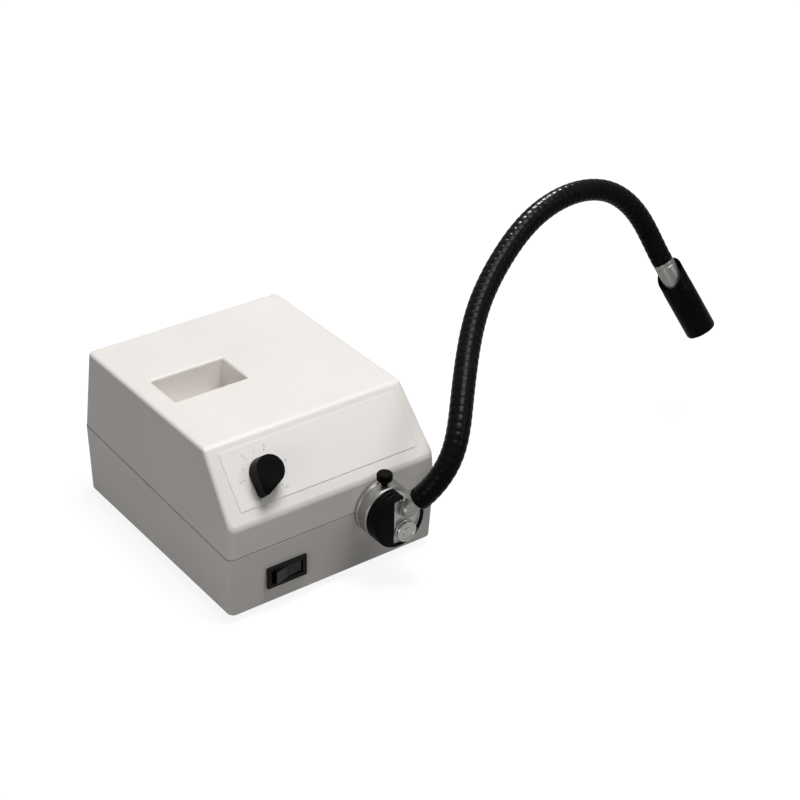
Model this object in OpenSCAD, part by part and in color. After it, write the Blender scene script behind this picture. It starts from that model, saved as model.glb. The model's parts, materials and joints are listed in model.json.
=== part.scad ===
// Bench illuminator: a lamp house whose light leaves through a gooseneck light guide.
// Millimetres, +Z up, -Y is the front. The origin is on the bench, under the middle of the lamp house.

/* [Housing] */
// Width of the housing at its seam
body_w = 178; // [170:1:190]
// Depth of the housing at its seam
body_d = 204; // [198:1:215]
// Height of the housing above the bottom edge of the base
body_h = 117.5; // [115:0.5:125]
// Height of the seam at the front, above the bottom edge
seam_h = 48.5; // [47:0.5:50]
// How much the seam climbs from front to back
seam_rise = 7.4; // [5:0.2:9]
// Height of the lower edge of the sloping panel, above the bottom edge
slope_low = 72.2; // [71:0.2:74]
// Distance from the front of the housing to the upper edge of the sloping panel
slope_run = 39.3; // [36:0.3:42]
// Wall thickness of both shells
wall = 2.5; // [2:0.1:3]
// Radius of the upright corners
corner_r = 5.5; // [4:0.5:7]
// Radius along the top edges
edge_r = 2.8; // [2:0.2:3.6]
// Height of the rubber feet
foot_h = 6; // [5:0.5:8]

/* [Hand pocket] */
// Width of the pocket in the top
pocket_w = 60; // [50:1:66]
// Length of the pocket from front to back
pocket_l = 35; // [30:0.5:36]
// Depth of the pocket
pocket_depth = 29; // [24:1:32]
// Sideways place of the pocket's centre
pocket_x = -36.3; // [-40:0.1:-34]
// Front-to-back place of the pocket's centre
pocket_y = 19.05; // [14:0.05:22]

/* [Controls] */
// Sideways place of the brightness knob
knob_x = -47.1; // [-52:0.1:-44]
// Distance of the knob from the upper edge of the sloping panel
knob_down = 29.1; // [27:0.1:31]
// Radius of the round part of the knob
knob_r = 11.2; // [10:0.1:12]
// Reach of the knob's pointer
knob_reach = 18.2; // [16.5:0.1:20]
// Height of the knob
knob_h = 11.5; // [11:0.5:15]
// Angle of the pointer, clockwise past straight down
knob_angle = 30; // [20:1:50]
// Width of the rocker switch's bezel
switch_w = 32.6; // [30:0.2:36]
// Height of the rocker switch's bezel
switch_h = 17; // [15:0.5:20]
// Sideways place of the switch
switch_x = -42.1; // [-44:0.1:-39]
// Height of the middle of the switch above the bottom edge
switch_z = 22.2; // [20:0.1:24]

/* [Light port] */
// Sideways place of the port's axis
port_x = 36.4; // [34:0.2:39]
// Outer radius of the collar and of the adapter cap
port_r = 20.9; // [20:0.1:22]
// Radius of the bore that takes the adapter
port_bore_r = 12.6; // [12:0.1:13]
// Length of the collar in front of the housing
collar_l = 14.2; // [13:0.1:15]
// Length of the adapter cap
cap_l = 12.6; // [12:0.1:14]

/* [Gooseneck] */
// Outer radius of the gooseneck at the crest of its ribs
neck_r = 8.5; // [8.2:0.1:8.8]
// Depth of the grooves between the ribs
rib_depth = 0.5; // [0.4:0.1:1]
// Ribs on one stretch of the route between two of its points
ribs_per_span = 7; // [5:1:8]
// Half of the gap between two sections, measured along the route
joint_gap = 1.7; // [1.6:0.1:2]
// Radius of the balls that join the sections
ball_r = 6.6; // [6.4:0.1:6.7]

/* [Focusing lens] */
// Outer radius of the lens barrel
barrel_r = 12.3; // [12:0.1:13]
// Distance of the barrel's tip from the end of the gooseneck
barrel_tip = 66.5; // [60:0.5:70]
// Angle at which the barrel's mouth is cut
mouth_angle = 36; // [20:1:40]

/* [Hidden] */
$fn = 48;

// Tapers of the shells, in millimetres for each millimetre away from the seam
cover_taper_x = 0.084;
cover_taper_y = 0.034;
base_taper_x = 0.032;
base_taper_y = 0.037;

front_y = -body_d / 2;
back_y = body_d / 2;
bottom_z = foot_h;
top_z = foot_h + body_h;
seam_z = foot_h + seam_h;
seam_tilt = atan(seam_rise / body_d);
slope_top_y = front_y + slope_run;
slope_fall = body_h - slope_low;
slope_front_y = front_y + cover_taper_y * (slope_low - seam_h);
slope_angle = atan2(slope_fall, slope_top_y - slope_front_y);

port_z = seam_z;
collar_front_y = front_y - collar_l;
cap_back_y = collar_front_y - 0.3;
cap_front_y = cap_back_y - cap_l;
face_y = cap_front_y + 1.6;
window_x = -5.5;
screw_y = front_y - 7.2;

// Places that are used by more than one piece
foot_x = 65;
foot_y = 81;
post_x = 79.2;
post_y = 86;
panel_y = 97;
panel_t = 1.5;
panel_w = 150;
panel_low = bottom_z + 8;
panel_high = top_z - 10;
fan_x = 33;
fan_size = 80;
fan_t = 25;
fan_z = bottom_z + 56;
fan_pitch = 71.5;
inlet_x = -45;
inlet_z = bottom_z + 36;
lamp_y = -54.5;
grey_silver = [0.62, 0.61, 0.58];
off_white = [0.9, 0.89, 0.85];
near_black = [0.05, 0.05, 0.05];

// Route of the gooseneck: the control points of one smooth curve, from the port to the lens
route_points = [
    [39, -107, 46], [43, -141, 74], [68, -149, 105], [93, -122, 130], [120, -93, 149],
    [150, -66, 167], [186, -47, 186], [224, -34, 204], [267, -28, 212], [310, -29, 205],
    [340, -36, 175], [353, -48, 135], [367, -75, 104]
];
spans = len(route_points) - 3;
span_l = 42.6;
section_spans = 2;
collar_u = 6 / span_l;
gap_u = joint_gap / span_l;
bell_u = 5.6 / span_l;
bell_r = 7.6;
bore_r = 6.3;
bundle_r = 4;
ring_sides = 8;

function unit(v) = v / norm(v);

function blend_points(i, t) =
    (pow(1 - t, 3) * route_points[i]
    + (3 * pow(t, 3) - 6 * pow(t, 2) + 4) * route_points[i + 1]
    + (-3 * pow(t, 3) + 3 * pow(t, 2) + 3 * t + 1) * route_points[i + 2]
    + pow(t, 3) * route_points[i + 3]) / 6;

function blend_slopes(i, t) =
    -pow(1 - t, 2) * route_points[i]
    + (3 * pow(t, 2) - 4 * t) * route_points[i + 1]
    + (-3 * pow(t, 2) + 2 * t + 1) * route_points[i + 2]
    + pow(t, 2) * route_points[i + 3];

function span_of(u) = min(floor(u), spans - 1);
function route(u) = blend_points(span_of(u), u - span_of(u));
function heading(u) = unit(blend_slopes(span_of(u), u - span_of(u)));

// One ring of points round the route
function ring(u, r) =
    let (
        centre = route(u),
        side = unit(cross(heading(u), [0, 1, 0])),
        other = cross(heading(u), side)
    )
    [for (k = [0 : ring_sides - 1])
        centre + r * cos(360 * k / ring_sides) * side + r * sin(360 * k / ring_sides) * other];

// Joins a closed loop of rings into a tube with a bore
function loop_faces(count) = [
    for (j = [0 : count - 1], k = [0 : ring_sides - 1])
        let (
            a = j * ring_sides + k,
            b = j * ring_sides + (k + 1) % ring_sides,
            c = ((j + 1) % count) * ring_sides + k,
            d = ((j + 1) % count) * ring_sides + (k + 1) % ring_sides
        )
        each [[a, c, b], [b, c, d]]
];

module tube(stations) {
    polyhedron(
        points = [for (s = stations) each ring(s[0], s[1])],
        faces = loop_faces(len(stations)),
        convexity = 8
    );
}

// Stands its children on a point, with their +Z along a direction
module aim(point, direction) {
    translate(point)
        rotate([0, acos(direction[2] / norm(direction)), atan2(direction[1], direction[0])])
            children();
}

// Puts its children on the port's axis, with their +Z pointing forward out of the housing
module at_port(y) {
    translate([port_x, y, port_z])
        rotate([90, 0, 0])
            children();
}

// Puts its children on the sloping panel, with x across, y up the slope and z out of it
module on_slope(x, down) {
    translate([x, slope_top_y, top_z])
        rotate([slope_angle, 0, 0])
            translate([0, -down, 0])
                children();
}

module ring_solid(outer, inner, height) {
    difference() {
        cylinder(r = outer, h = height);
        translate([0, 0, -1])
            cylinder(r = inner, h = height + 2);
    }
}

// A short round corner piece with a rounded top edge
module puck(r, e) {
    rotate_extrude($fn = 32)
        intersection() {
            union() {
                translate([r - e, 0])
                    circle(r = e, $fn = 16);
                translate([0, -e])
                    square([r - e, 2 * e]);
            }
            translate([0, -r])
                square([r, 2 * r]);
        }
}

module corners(half_x, y_low, y_high, z, r) {
    for (sx = [-1, 1], y = [y_low + r, y_high - r])
        translate([sx * (half_x - r), y, z])
            children();
}

// Everything below the seam
module below_seam(lift) {
    translate([0, front_y, seam_z + lift])
        rotate([seam_tilt, 0, 0])
            translate([-body_w, -body_d, -body_h * 2])
                cube([2 * body_w, 4 * body_d, body_h * 2]);
}

// The base's outer shape, shrunk on every side by inset
module base_form(inset) {
    rise = 12;
    low_x = body_w / 2 - base_taper_x * seam_h - inset;
    low_y = body_d / 2 - base_taper_y * seam_h - inset;
    high_x = body_w / 2 + base_taper_x * rise - inset;
    high_y = body_d / 2 + base_taper_y * rise - inset;
    r = corner_r - inset / 2;
    e = 2;
    hull() {
        corners(low_x, -low_y, low_y, bottom_z + inset + e, r)
            puck(r, e);
        corners(high_x, -high_y, high_y, seam_z + rise, r)
            cylinder(r = r, h = 0.1, $fn = 32);
    }
}

// The cover's outer shape, shrunk on every side by inset
module cover_form(inset) {
    drop = 8;
    low_x = body_w / 2 + cover_taper_x * drop - inset;
    low_y = body_d / 2 + cover_taper_y * drop - inset;
    mid_x = body_w / 2 - cover_taper_x * (slope_low - seam_h) - inset;
    top_x = body_w / 2 - cover_taper_x * (body_h - seam_h) - inset;
    top_back = back_y - cover_taper_y * (body_h - seam_h) - inset;
    r = corner_r - inset / 2;
    e = edge_r - inset / 3;
    lean = (inset + e) * tan(slope_angle / 2);
    droop = (inset + e) * tan((90 - slope_angle) / 2);
    hull() {
        corners(low_x, -low_y, low_y, seam_z - drop, r)
            cylinder(r = r, h = 0.1, $fn = 32);
        for (sx = [-1, 1]) {
            translate([sx * (mid_x - e), slope_front_y + inset + e, bottom_z + slope_low - droop])
                sphere(r = e, $fn = 24);
            translate([sx * (top_x - e), slope_top_y + lean, top_z - inset - e])
                sphere(r = e, $fn = 24);
            translate([sx * (top_x - r), top_back - r, top_z - inset - e])
                puck(r, e);
        }
    }
}

module shell_openings() {
    translate([-panel_w / 2, panel_y - 12, panel_low])
        cube([panel_w, 40, panel_high - panel_low]);
    at_port(front_y + 20)
        cylinder(r = 17.2, h = 40);
}

// A low lip inside the base that keeps the cover in place
module seam_tongue() {
    difference() {
        union() {
            intersection() {
                cover_form(wall + 0.4);
                below_seam(2.4);
            }
            intersection() {
                base_form(wall - 0.3);
                below_seam(-0.6);
            }
        }
        cover_form(wall + 1.6);
        shell_openings();
        below_seam(-6);
        at_port(front_y + 20)
            cylinder(r = 23.4, h = 40);
    }
}

module base_shell() {
    color(off_white) {
        difference() {
            intersection() {
                base_form(0);
                below_seam(-0.3);
            }
            base_form(wall);
            shell_openings();
            translate([switch_x - 14.6, front_y - 5, bottom_z + switch_z - 6.7])
                cube([29.2, 15, 13.4]);
            for (k = [0 : 8])
                translate([20 + k * 6, -35, bottom_z - 1])
                    cube([3, 60, wall + 2]);
            for (sx = [-1, 1], sy = [-1, 1]) {
                translate([sx * foot_x, sy * foot_y, bottom_z - 1])
                    cylinder(r = 1.9, h = wall + 2);
                translate([sx * post_x, sy * post_y, bottom_z - 1])
                    cylinder(r = 3.4, h = wall + 2);
            }
        }
        seam_tongue();
        for (sx = [-1, 1], sy = [-1, 1])
            translate([sx * post_x, sy * post_y, bottom_z + 0.2])
                difference() {
                    cylinder(r = 4.6, h = 30);
                    translate([0, 0, -1])
                        cylinder(r = 3.4, h = 5);
                    cylinder(r = 1.8, h = 40);
                }
    }
}

module top_cover() {
    color(off_white) {
        difference() {
            cover_form(0);
            below_seam(0.3);
            cover_form(wall);
            shell_openings();
            translate([pocket_x - pocket_w / 2, pocket_y - pocket_l / 2, top_z - pocket_depth])
                cube([pocket_w, pocket_l, pocket_depth + 5]);
            on_slope(knob_x, knob_down)
                translate([0, 0, -10])
                    cylinder(r = 4.2, h = 20);
        }
        difference() {
            translate([pocket_x - pocket_w / 2 - 2, pocket_y - pocket_l / 2 - 2, top_z - pocket_depth - 2])
                cube([pocket_w + 4, pocket_l + 4, pocket_depth + 1]);
            translate([pocket_x - pocket_w / 2, pocket_y - pocket_l / 2, top_z - pocket_depth])
                cube([pocket_w, pocket_l, pocket_depth + 5]);
        }
        intersection() {
            cover_form(wall / 2);
            for (sx = [-1, 1], sy = [-1, 1])
                translate([sx * post_x, sy * post_y, bottom_z + 30.4])
                    difference() {
                        cylinder(r = 4.6, h = 90);
                        translate([0, 0, -1])
                            cylinder(r = 1.3, h = 14);
                    }
        }
    }
}

module rubber_feet() {
    color(near_black)
        for (sx = [-1, 1], sy = [-1, 1])
            translate([sx * foot_x, sy * foot_y, 0])
                rotate_extrude()
                    polygon([[2.2, foot_h], [2.2, 3], [4, 3], [4, 0], [7, 0], [8.5, 1.5], [9, foot_h]]);
}

module foot_screws() {
    color(grey_silver)
        for (sx = [-1, 1], sy = [-1, 1])
            translate([sx * foot_x, sy * foot_y, 0]) {
                translate([0, 0, 1])
                    cylinder(r = 3.4, h = 2);
                translate([0, 0, 3])
                    cylinder(r = 1.7, h = 10);
                translate([0, 0, bottom_z + wall])
                    cylinder(r = 3.2, h = 2.4, $fn = 6);
            }
}

module cover_screws() {
    color(grey_silver)
        for (sx = [-1, 1], sy = [-1, 1])
            translate([sx * post_x, sy * post_y, bottom_z + 1]) {
                cylinder(r = 3, h = 3.2);
                cylinder(r = 1.2, h = 40);
            }
}

module panel_overlay() {
    overlay_w = 148;
    overlay_l = 43;
    color([0.94, 0.93, 0.9])
        on_slope(0, 28)
            difference() {
                translate([-overlay_w / 2, -overlay_l / 2, 0.02])
                    cube([overlay_w, overlay_l, 0.4]);
                translate([knob_x, 28 - knob_down, -1])
                    cylinder(r = 4.6, h = 3);
            }
}

module control_knob() {
    tip_r = 3.2;
    color(near_black)
        on_slope(knob_x, knob_down)
            translate([0, 0, 1.2])
                difference() {
                    union() {
                        cylinder(r = knob_r, h = knob_h);
                        rotate([0, 0, -90 - knob_angle])
                            hull() {
                                cylinder(r = knob_r - 0.4, h = knob_h - 0.5);
                                translate([knob_reach - tip_r, 0, 0])
                                    cylinder(r = tip_r, h = knob_h - 2);
                            }
                    }
                    translate([0, 0, -1])
                        cylinder(r = 3.02, h = 10.5);
                }
}

module pot_shaft() {
    color([0.78, 0.68, 0.42])
        on_slope(knob_x, knob_down)
            translate([0, 0, -12])
                cylinder(r = 3, h = 22.6);
}

module pot_body() {
    color([0.35, 0.35, 0.34])
        on_slope(knob_x, knob_down)
            difference() {
                union() {
                    translate([0, 0, -14])
                        cylinder(r = 8.4, h = 9.3);
                    translate([0, 0, -5.2])
                        cylinder(r = 3.8, h = 6.2);
                    translate([-7, -19, -12])
                        cube([14, 13, 1.6]);
                }
                translate([0, 0, -13])
                    cylinder(r = 3.05, h = 20);
            }
}

module pot_nut() {
    color(grey_silver)
        on_slope(knob_x, knob_down)
            translate([0, 0, -4.62])
                difference() {
                    cylinder(r = 6.2, h = 2, $fn = 6);
                    translate([0, 0, -1])
                        cylinder(r = 3.85, h = 5);
                }
}

// The switch pivots about an upright axis at its middle
module at_switch(y) {
    translate([switch_x, front_y + y, bottom_z + switch_z])
        children();
}

module rocker_frame() {
    color(near_black)
        at_switch(0)
            difference() {
                union() {
                    translate([-switch_w / 2, -1.4, -switch_h / 2])
                        cube([switch_w, 2.1, switch_h]);
                    translate([-14.4, 0, -6.5])
                        cube([28.8, 20, 13]);
                }
                translate([-13, -3, -5.3])
                    cube([26, 19, 10.6]);
                translate([0, 4, -10])
                    cylinder(r = 1.55, h = 20);
                for (x = [-9, 0, 9])
                    translate([x - 0.6, 10, -2.6])
                        cube([1.2, 12, 5.2]);
            }
}

module power_rocker() {
    color([0.09, 0.09, 0.09])
        at_switch(4) {
            rotate([0, 0, 10])
                translate([0, 0, -5])
                    linear_extrude(height = 10)
                        polygon([[-11.9, -6.2], [-8, -5.4], [-0.6, -4.9], [0, -5.6], [0.6, -4.9],
                            [8, -5.4], [11.9, -6.2], [11.2, 1], [3, 3.6], [-3, 3.6], [-11.2, 1]]);
            translate([0, 0, -6.4])
                cylinder(r = 1.5, h = 12.8);
        }
}

module switch_terminals() {
    color([0.78, 0.68, 0.42])
        at_switch(0)
            for (x = [-9, 0, 9])
                translate([x - 0.6, 16.2, -2.6])
                    cube([1.2, 12, 5.2]);
}

module port_collar() {
    color(grey_silver)
        difference() {
            at_port(0)
                rotate_extrude()
                    polygon([
                        [port_bore_r, 102 + collar_l], [19.9, 102 + collar_l], [port_r, 101 + collar_l],
                        [port_r, 102.1], [17, 102.1], [17, 84], [10, 84], [10, 90], [port_bore_r, 90]
                    ]);
            translate([port_x, screw_y, port_z + 5])
                cylinder(r = 2.55, h = 30);
        }
}

module collar_nut() {
    color(grey_silver)
        at_port(front_y + 8.8)
            difference() {
                cylinder(r = 22, h = 5, $fn = 6);
                translate([0, 0, -1])
                    cylinder(r = 17.05, h = 8);
            }
}

module thumbscrew() {
    color(near_black)
        translate([port_x, screw_y, port_z])
            rotate_extrude()
                polygon([
                    [0, 13.1], [2.5, 13.6], [2.5, 23], [3, 24], [5.2, 25], [5.9, 26.2],
                    [5.9, 29.4], [5.2, 30.4], [0, 30.6]
                ]);
}

module adapter_cap() {
    color(near_black)
        at_port(cap_back_y)
            difference() {
                cylinder(r = port_r, h = cap_l);
                translate([0, 0, -1])
                    cylinder(r = 19.3, h = cap_l - 0.3);
                intersection() {
                    cylinder(r = 19.3, h = cap_l + 1);
                    translate([window_x, -30, 0])
                        cube([60, 60, 60]);
                }
                translate([2, 3.5, -1])
                    cube([30, 30, cap_l + 2]);
            }
}

module adapter_body() {
    color(grey_silver)
        at_port(0)
            rotate_extrude()
                polygon([
                    [4.6, 91], [port_bore_r - 0.05, 91], [port_bore_r - 0.05, -cap_back_y],
                    [19.25, -cap_back_y], [19.25, -face_y], [0, -face_y], [0, -face_y - 3],
                    [4.6, -face_y - 3]
                ]);
}

// Where the light guide leaves the adapter's face
guide_start = route(0);
guide_way = heading(0);
guide_foot = guide_start - 13 * guide_way;

module guide_ferrule() {
    color(grey_silver)
        difference() {
            union() {
                translate([guide_foot[0], face_y, guide_foot[2]])
                    rotate([90, 0, 0])
                        cylinder(r = 7.4, h = 3.2);
                translate([guide_foot[0], guide_foot[1] - 1, guide_foot[2]])
                    sphere(r = 6.2);
                aim(guide_foot, guide_way)
                    cylinder(r = 6.2, h = 13);
                aim(guide_foot, guide_way)
                    cylinder(r = 5.5, h = 18.5);
            }
            translate([0, face_y, 0])
                translate([0, 0, port_z - 30])
                    cube([80, 20, 60]);
            aim(guide_foot, guide_way)
                translate([0, 0, 6])
                    cylinder(r = 4.3, h = 20);
        }
}

module port_plug() {
    color(grey_silver)
        translate([port_x + 4.6, face_y, port_z - 9.1])
            rotate([90, 0, 0])
                rotate_extrude()
                    polygon([
                        [0, 0], [8.5, 0], [8.5, 1.2], [7.8, 1.6], [7.8, 2.3], [8.2, 2.7], [8.2, 3.4],
                        [6.2, 4], [6.2, 3.4], [3.7, 3.4], [3.7, 4.2], [0, 4.6]
                    ]);
}

// One ribbed section of the gooseneck, with its bore and a bell at each jointed end
module neck_section(index) {
    first = section_spans * (index - 1) + (index > 1 ? gap_u : 0);
    last = section_spans * index - (index < 5 ? gap_u : 0);
    ribs = section_spans * ribs_per_span - 2;
    pitch = (last - first - 2 * collar_u) / ribs;
    start_r = index > 1 ? bell_r : bore_r;
    end_r = index < 5 ? bell_r : bore_r;
    outside = [
        [first, neck_r], [first + collar_u, neck_r],
        for (k = [0 : ribs - 1])
            each [[first + collar_u + (k + 0.5) * pitch, neck_r - rib_depth],
                [first + collar_u + (k + 1) * pitch, neck_r]],
        [last, neck_r]
    ];
    inside = [
        [last, end_r], [last - bell_u, end_r], [last - bell_u - 0.02, bore_r],
        for (k = [5 : -1 : 1])
            [first + bell_u + (last - first - 2 * bell_u) * k / 6, bore_r],
        [first + bell_u + 0.02, bore_r], [first + bell_u, start_r], [first, start_r]
    ];
    color(near_black)
        tube(concat(outside, inside));
}

module neck_1() {
    neck_section(1);
}

module neck_2() {
    neck_section(2);
}

module neck_3() {
    neck_section(3);
}

module neck_4() {
    neck_section(4);
}

module neck_5() {
    neck_section(5);
}

// A ball that belongs to the section before it and turns in the bell of the next one
module neck_ball(index) {
    u = section_spans * index;
    color(grey_silver)
        aim(route(u), heading(u))
            difference() {
                union() {
                    sphere(r = ball_r);
                    translate([0, 0, -9])
                        cylinder(r = 5.2, h = 6);
                }
                translate([0, 0, -20])
                    cylinder(r = 4.3, h = 40);
            }
}

module neck_ball_1() {
    neck_ball(1);
}

module neck_ball_2() {
    neck_ball(2);
}

module neck_ball_3() {
    neck_ball(3);
}

module neck_ball_4() {
    neck_ball(4);
}

// The glass fibres inside one section; they stop short of each ball
module fibres(index) {
    clear_u = 10.5 / span_l;
    first = section_spans * (index - 1) + (index > 1 ? clear_u : 0.16);
    last = section_spans * index - (index < 5 ? clear_u : 0.16);
    steps = 8;
    color([0.75, 0.72, 0.6])
        tube(concat(
            [for (k = [0 : steps]) [first + (last - first) * k / steps, bundle_r]],
            [for (k = [steps : -1 : 0]) [first + (last - first) * k / steps, 0.6]]
        ));
}

module fibres_1() {
    fibres(1);
}

module fibres_2() {
    fibres(2);
}

module fibres_3() {
    fibres(3);
}

module fibres_4() {
    fibres(4);
}

module fibres_5() {
    fibres(5);
}

// The far end of the gooseneck carries a ferrule, on which the lens barrel slides
neck_end = route(spans);
end_way = heading(spans);
lens_seat = barrel_tip - 3.5;

module at_end() {
    aim(neck_end, end_way)
        children();
}

module end_ferrule() {
    color(grey_silver)
        at_end()
            difference() {
                union() {
                    cylinder(r = 8.4, h = 42);
                    translate([0, 0, -5.5])
                        cylinder(r = 5.5, h = 6);
                }
                translate([0, 0, -10])
                    cylinder(r = 4.3, h = 60);
            }
}

module lens_barrel() {
    color(near_black)
        at_end()
            difference() {
                rotate_extrude()
                    polygon([
                        [11.2, 2], [12.1, 2], [12.1, 24], [barrel_r, 24.2], [barrel_r, barrel_tip - 1.6],
                        [11.6, barrel_tip], [10.6, barrel_tip], [10.6, lens_seat], [11.2, lens_seat]
                    ]);
                rotate([0, 0, mouth_turn])
                    translate([0, 0, 12])
                        rotate([0, mouth_angle, 0])
                            translate([-40, -40, -40])
                                cube([80, 80, 40]);
            }
}

// The barrel's mouth is cut so that its short side faces the front
mouth_turn = 100;

module barrel_guide() {
    color(near_black)
        at_end()
            translate([0, 0, 25])
                ring_solid(11.18, 8.45, 8);
}

module condenser_lens() {
    color([0.8, 0.86, 0.88, 0.4])
        at_end()
            translate([0, 0, lens_seat - 7])
                intersection() {
                    cylinder(r = 11.18, h = 6.8);
                    translate([0, 0, -12.6])
                        sphere(r = 19);
                }
}

module lens_ring() {
    color([0.2, 0.2, 0.2])
        at_end()
            translate([0, 0, lens_seat + 0.1])
                ring_solid(10.55, 9.2, 3.6);
}

module rear_panel() {
    edge = 3;
    color(grey_silver)
        difference() {
            translate([-panel_w / 2 - edge, panel_y - panel_t, panel_low - edge / 2])
                cube([panel_w + 2 * edge, panel_t, panel_high - panel_low + edge]);
            translate([fan_x, panel_y - 5, fan_z])
                rotate([-90, 0, 0])
                    cylinder(r = 38, h = 10);
            translate([inlet_x - 14.2, panel_y - 5, inlet_z - 15.2])
                cube([28.4, 10, 30.4]);
            for (sx = [-1, 1], sz = [-1, 1])
                translate([fan_x + sx * fan_pitch / 2, panel_y - 5, fan_z + sz * fan_pitch / 2])
                    rotate([-90, 0, 0])
                        cylinder(r = 2.2, h = 10);
            for (sx = [-1, 1])
                translate([inlet_x + sx * 20, panel_y - 5, inlet_z])
                    rotate([-90, 0, 0])
                        cylinder(r = 1.8, h = 10);
        }
}

module panel_screws() {
    color(grey_silver)
        for (sx = [-1, 1])
            translate([inlet_x + sx * 20, panel_y - 6, inlet_z])
                rotate([-90, 0, 0]) {
                    cylinder(r = 1.5, h = 9);
                    translate([0, 0, 8.62])
                        cylinder(r = 2.8, h = 1.6);
                }
}

module at_fan(y) {
    translate([fan_x, y, fan_z])
        rotate([-90, 0, 0])
            children();
}

module fan_frame() {
    half = fan_size / 2;
    color(near_black)
        at_fan(panel_y - panel_t - fan_t)
            difference() {
                union() {
                    difference() {
                        translate([-half, -half, 0])
                            cube([fan_size, fan_size, fan_t]);
                        translate([0, 0, -1])
                            cylinder(r = 37.5, h = fan_t + 2);
                        for (a = [0 : 90 : 270])
                            rotate([0, 0, a])
                                translate([-25, 38.6, 4])
                                    cube([50, 10, fan_t - 8]);
                    }
                    cylinder(r = 15, h = 3);
                    for (a = [45 : 90 : 315])
                        rotate([0, 0, a])
                            translate([12, -2.5, 0])
                                cube([27, 5, 3]);
                }
                for (sx = [-1, 1], sy = [-1, 1])
                    translate([sx * fan_pitch / 2, sy * fan_pitch / 2, -1])
                        cylinder(r = 2.2, h = fan_t + 2);
                translate([0, 0, -1])
                    cylinder(r = 1.55, h = 6);
            }
}

module fan_rotor() {
    color(near_black)
        at_fan(panel_y - panel_t - fan_t) {
            cylinder(r = 1.5, h = 8);
            translate([0, 0, 4])
                cylinder(r = 17, h = 18);
            for (k = [0 : 6])
                rotate([0, 0, k * 360 / 7])
                    translate([16, 0, 13])
                        rotate([38, 0, 0])
                            translate([0, -11, -0.8])
                                cube([20, 22, 1.6]);
        }
}

module fan_grille() {
    color(grey_silver)
        at_fan(panel_y) {
            for (r = [12, 20, 28, 36])
                translate([0, 0, 0.8])
                    ring_solid(r + 1.4, r, 1.4);
            for (a = [0 : 45 : 135])
                rotate([0, 0, a])
                    translate([a % 90 == 0 ? -37 : -47.4, -0.7, 0.4])
                        cube([a % 90 == 0 ? 74 : 94.8, 1.4, 1.2]);
            for (sx = [-1, 1], sy = [-1, 1])
                translate([sx * fan_pitch / 2, sy * fan_pitch / 2, 0])
                    ring_solid(4.2, 2.2, 2.8);
        }
}

module fan_screws() {
    color(grey_silver)
        for (sx = [-1, 1], sy = [-1, 1])
            at_fan(panel_y - panel_t - fan_t - 2)
                translate([sx * fan_pitch / 2, sy * fan_pitch / 2, 0]) {
                    cylinder(r = 1.9, h = fan_t + panel_t + 5);
                    translate([0, 0, fan_t + panel_t + 4.9])
                        cylinder(r = 3.4, h = 1.6);
                }
}

module at_inlet(y) {
    translate([inlet_x, y, inlet_z])
        children();
}

module mains_inlet() {
    color(near_black)
        at_inlet(panel_y)
            difference() {
                union() {
                    translate([-25, 0, -17])
                        cube([50, 2.6, 34]);
                    translate([-14, -24, -15])
                        cube([28, 26, 30]);
                }
                translate([-12, -15, -12.6])
                    cube([24, 30, 16]);
                translate([-9, -20, 6.2])
                    cube([18, 30, 7]);
                for (sx = [-1, 1])
                    translate([sx * 20, -1, 0])
                        rotate([-90, 0, 0])
                            cylinder(r = 1.8, h = 6);
                for (x = [-7, 0, 7])
                    translate([x - 1, -30, -6.5])
                        cube([2, 16, 4]);
            }
}

module inlet_pins() {
    color([0.78, 0.68, 0.42])
        at_inlet(panel_y)
            for (x = [-7, 0, 7])
                translate([x - 1, -30, -6.5])
                    cube([2, 28, 4]);
}

module fuse_drawer() {
    color([0.07, 0.07, 0.07])
        at_inlet(panel_y)
            difference() {
                union() {
                    translate([-8.7, -19.4, 6.5])
                        cube([17.4, 22.5, 6.4]);
                    translate([-9.6, 2.9, 5.8])
                        cube([19.2, 1.6, 7.8]);
                }
                translate([-6.5, -17.4, 7.2])
                    cube([13, 18, 8]);
            }
}

module fuse() {
    color([0.8, 0.82, 0.8, 0.6])
        at_inlet(panel_y)
            translate([0, -16.9, 9.7])
                rotate([-90, 0, 0])
                    cylinder(r = 2.5, h = 17);
}

module lamp_bracket() {
    color(grey_silver)
        translate([port_x, 0, port_z]) {
            difference() {
                translate([-32, -78, -32])
                    cube([64, 1.5, 62]);
                translate([0, -70, 0])
                    rotate([90, 0, 0])
                        cylinder(r = 24, h = 20);
            }
            translate([-32, -78, -port_z + bottom_z + wall + 0.02])
                cube([64, 84, 1.5]);
            for (sx = [-1, 1])
                translate([sx * 31.25 - 0.75, -78, -port_z + bottom_z + wall + 0.02])
                    cube([1.5, 60, 50]);
            difference() {
                translate([-32, 4.5, -port_z + bottom_z + wall + 0.02])
                    cube([64, 1.5, 60]);
                translate([0, 20, 0])
                    rotate([90, 0, 0])
                        cylinder(r = 5, h = 30);
            }
        }
}

module halogen_lamp() {
    color([0.85, 0.87, 0.9, 0.5])
        at_port(lamp_y)
            rotate_extrude()
                polygon([
                    [0, -36], [7, -36], [7, -24], [14, -18], [20, -8], [23, 6], [25.3, 20],
                    [25.3, 22], [23.4, 22], [21, 6], [18, -6], [12, -15], [6, -20], [4, -20], [4, -4], [0, -1]
                ]);
}

module lamp_socket() {
    color([0.85, 0.82, 0.75])
        at_port(4.5)
            difference() {
                cylinder(r = 8.5, h = 23);
                for (sx = [-1, 1])
                    translate([sx * 3, 0, -1])
                        cylinder(r = 1, h = 25);
            }
}

module heat_filter() {
    color([0.7, 0.85, 0.8, 0.5])
        at_port(-80.9)
            cylinder(r = 12, h = 3);
}

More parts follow.
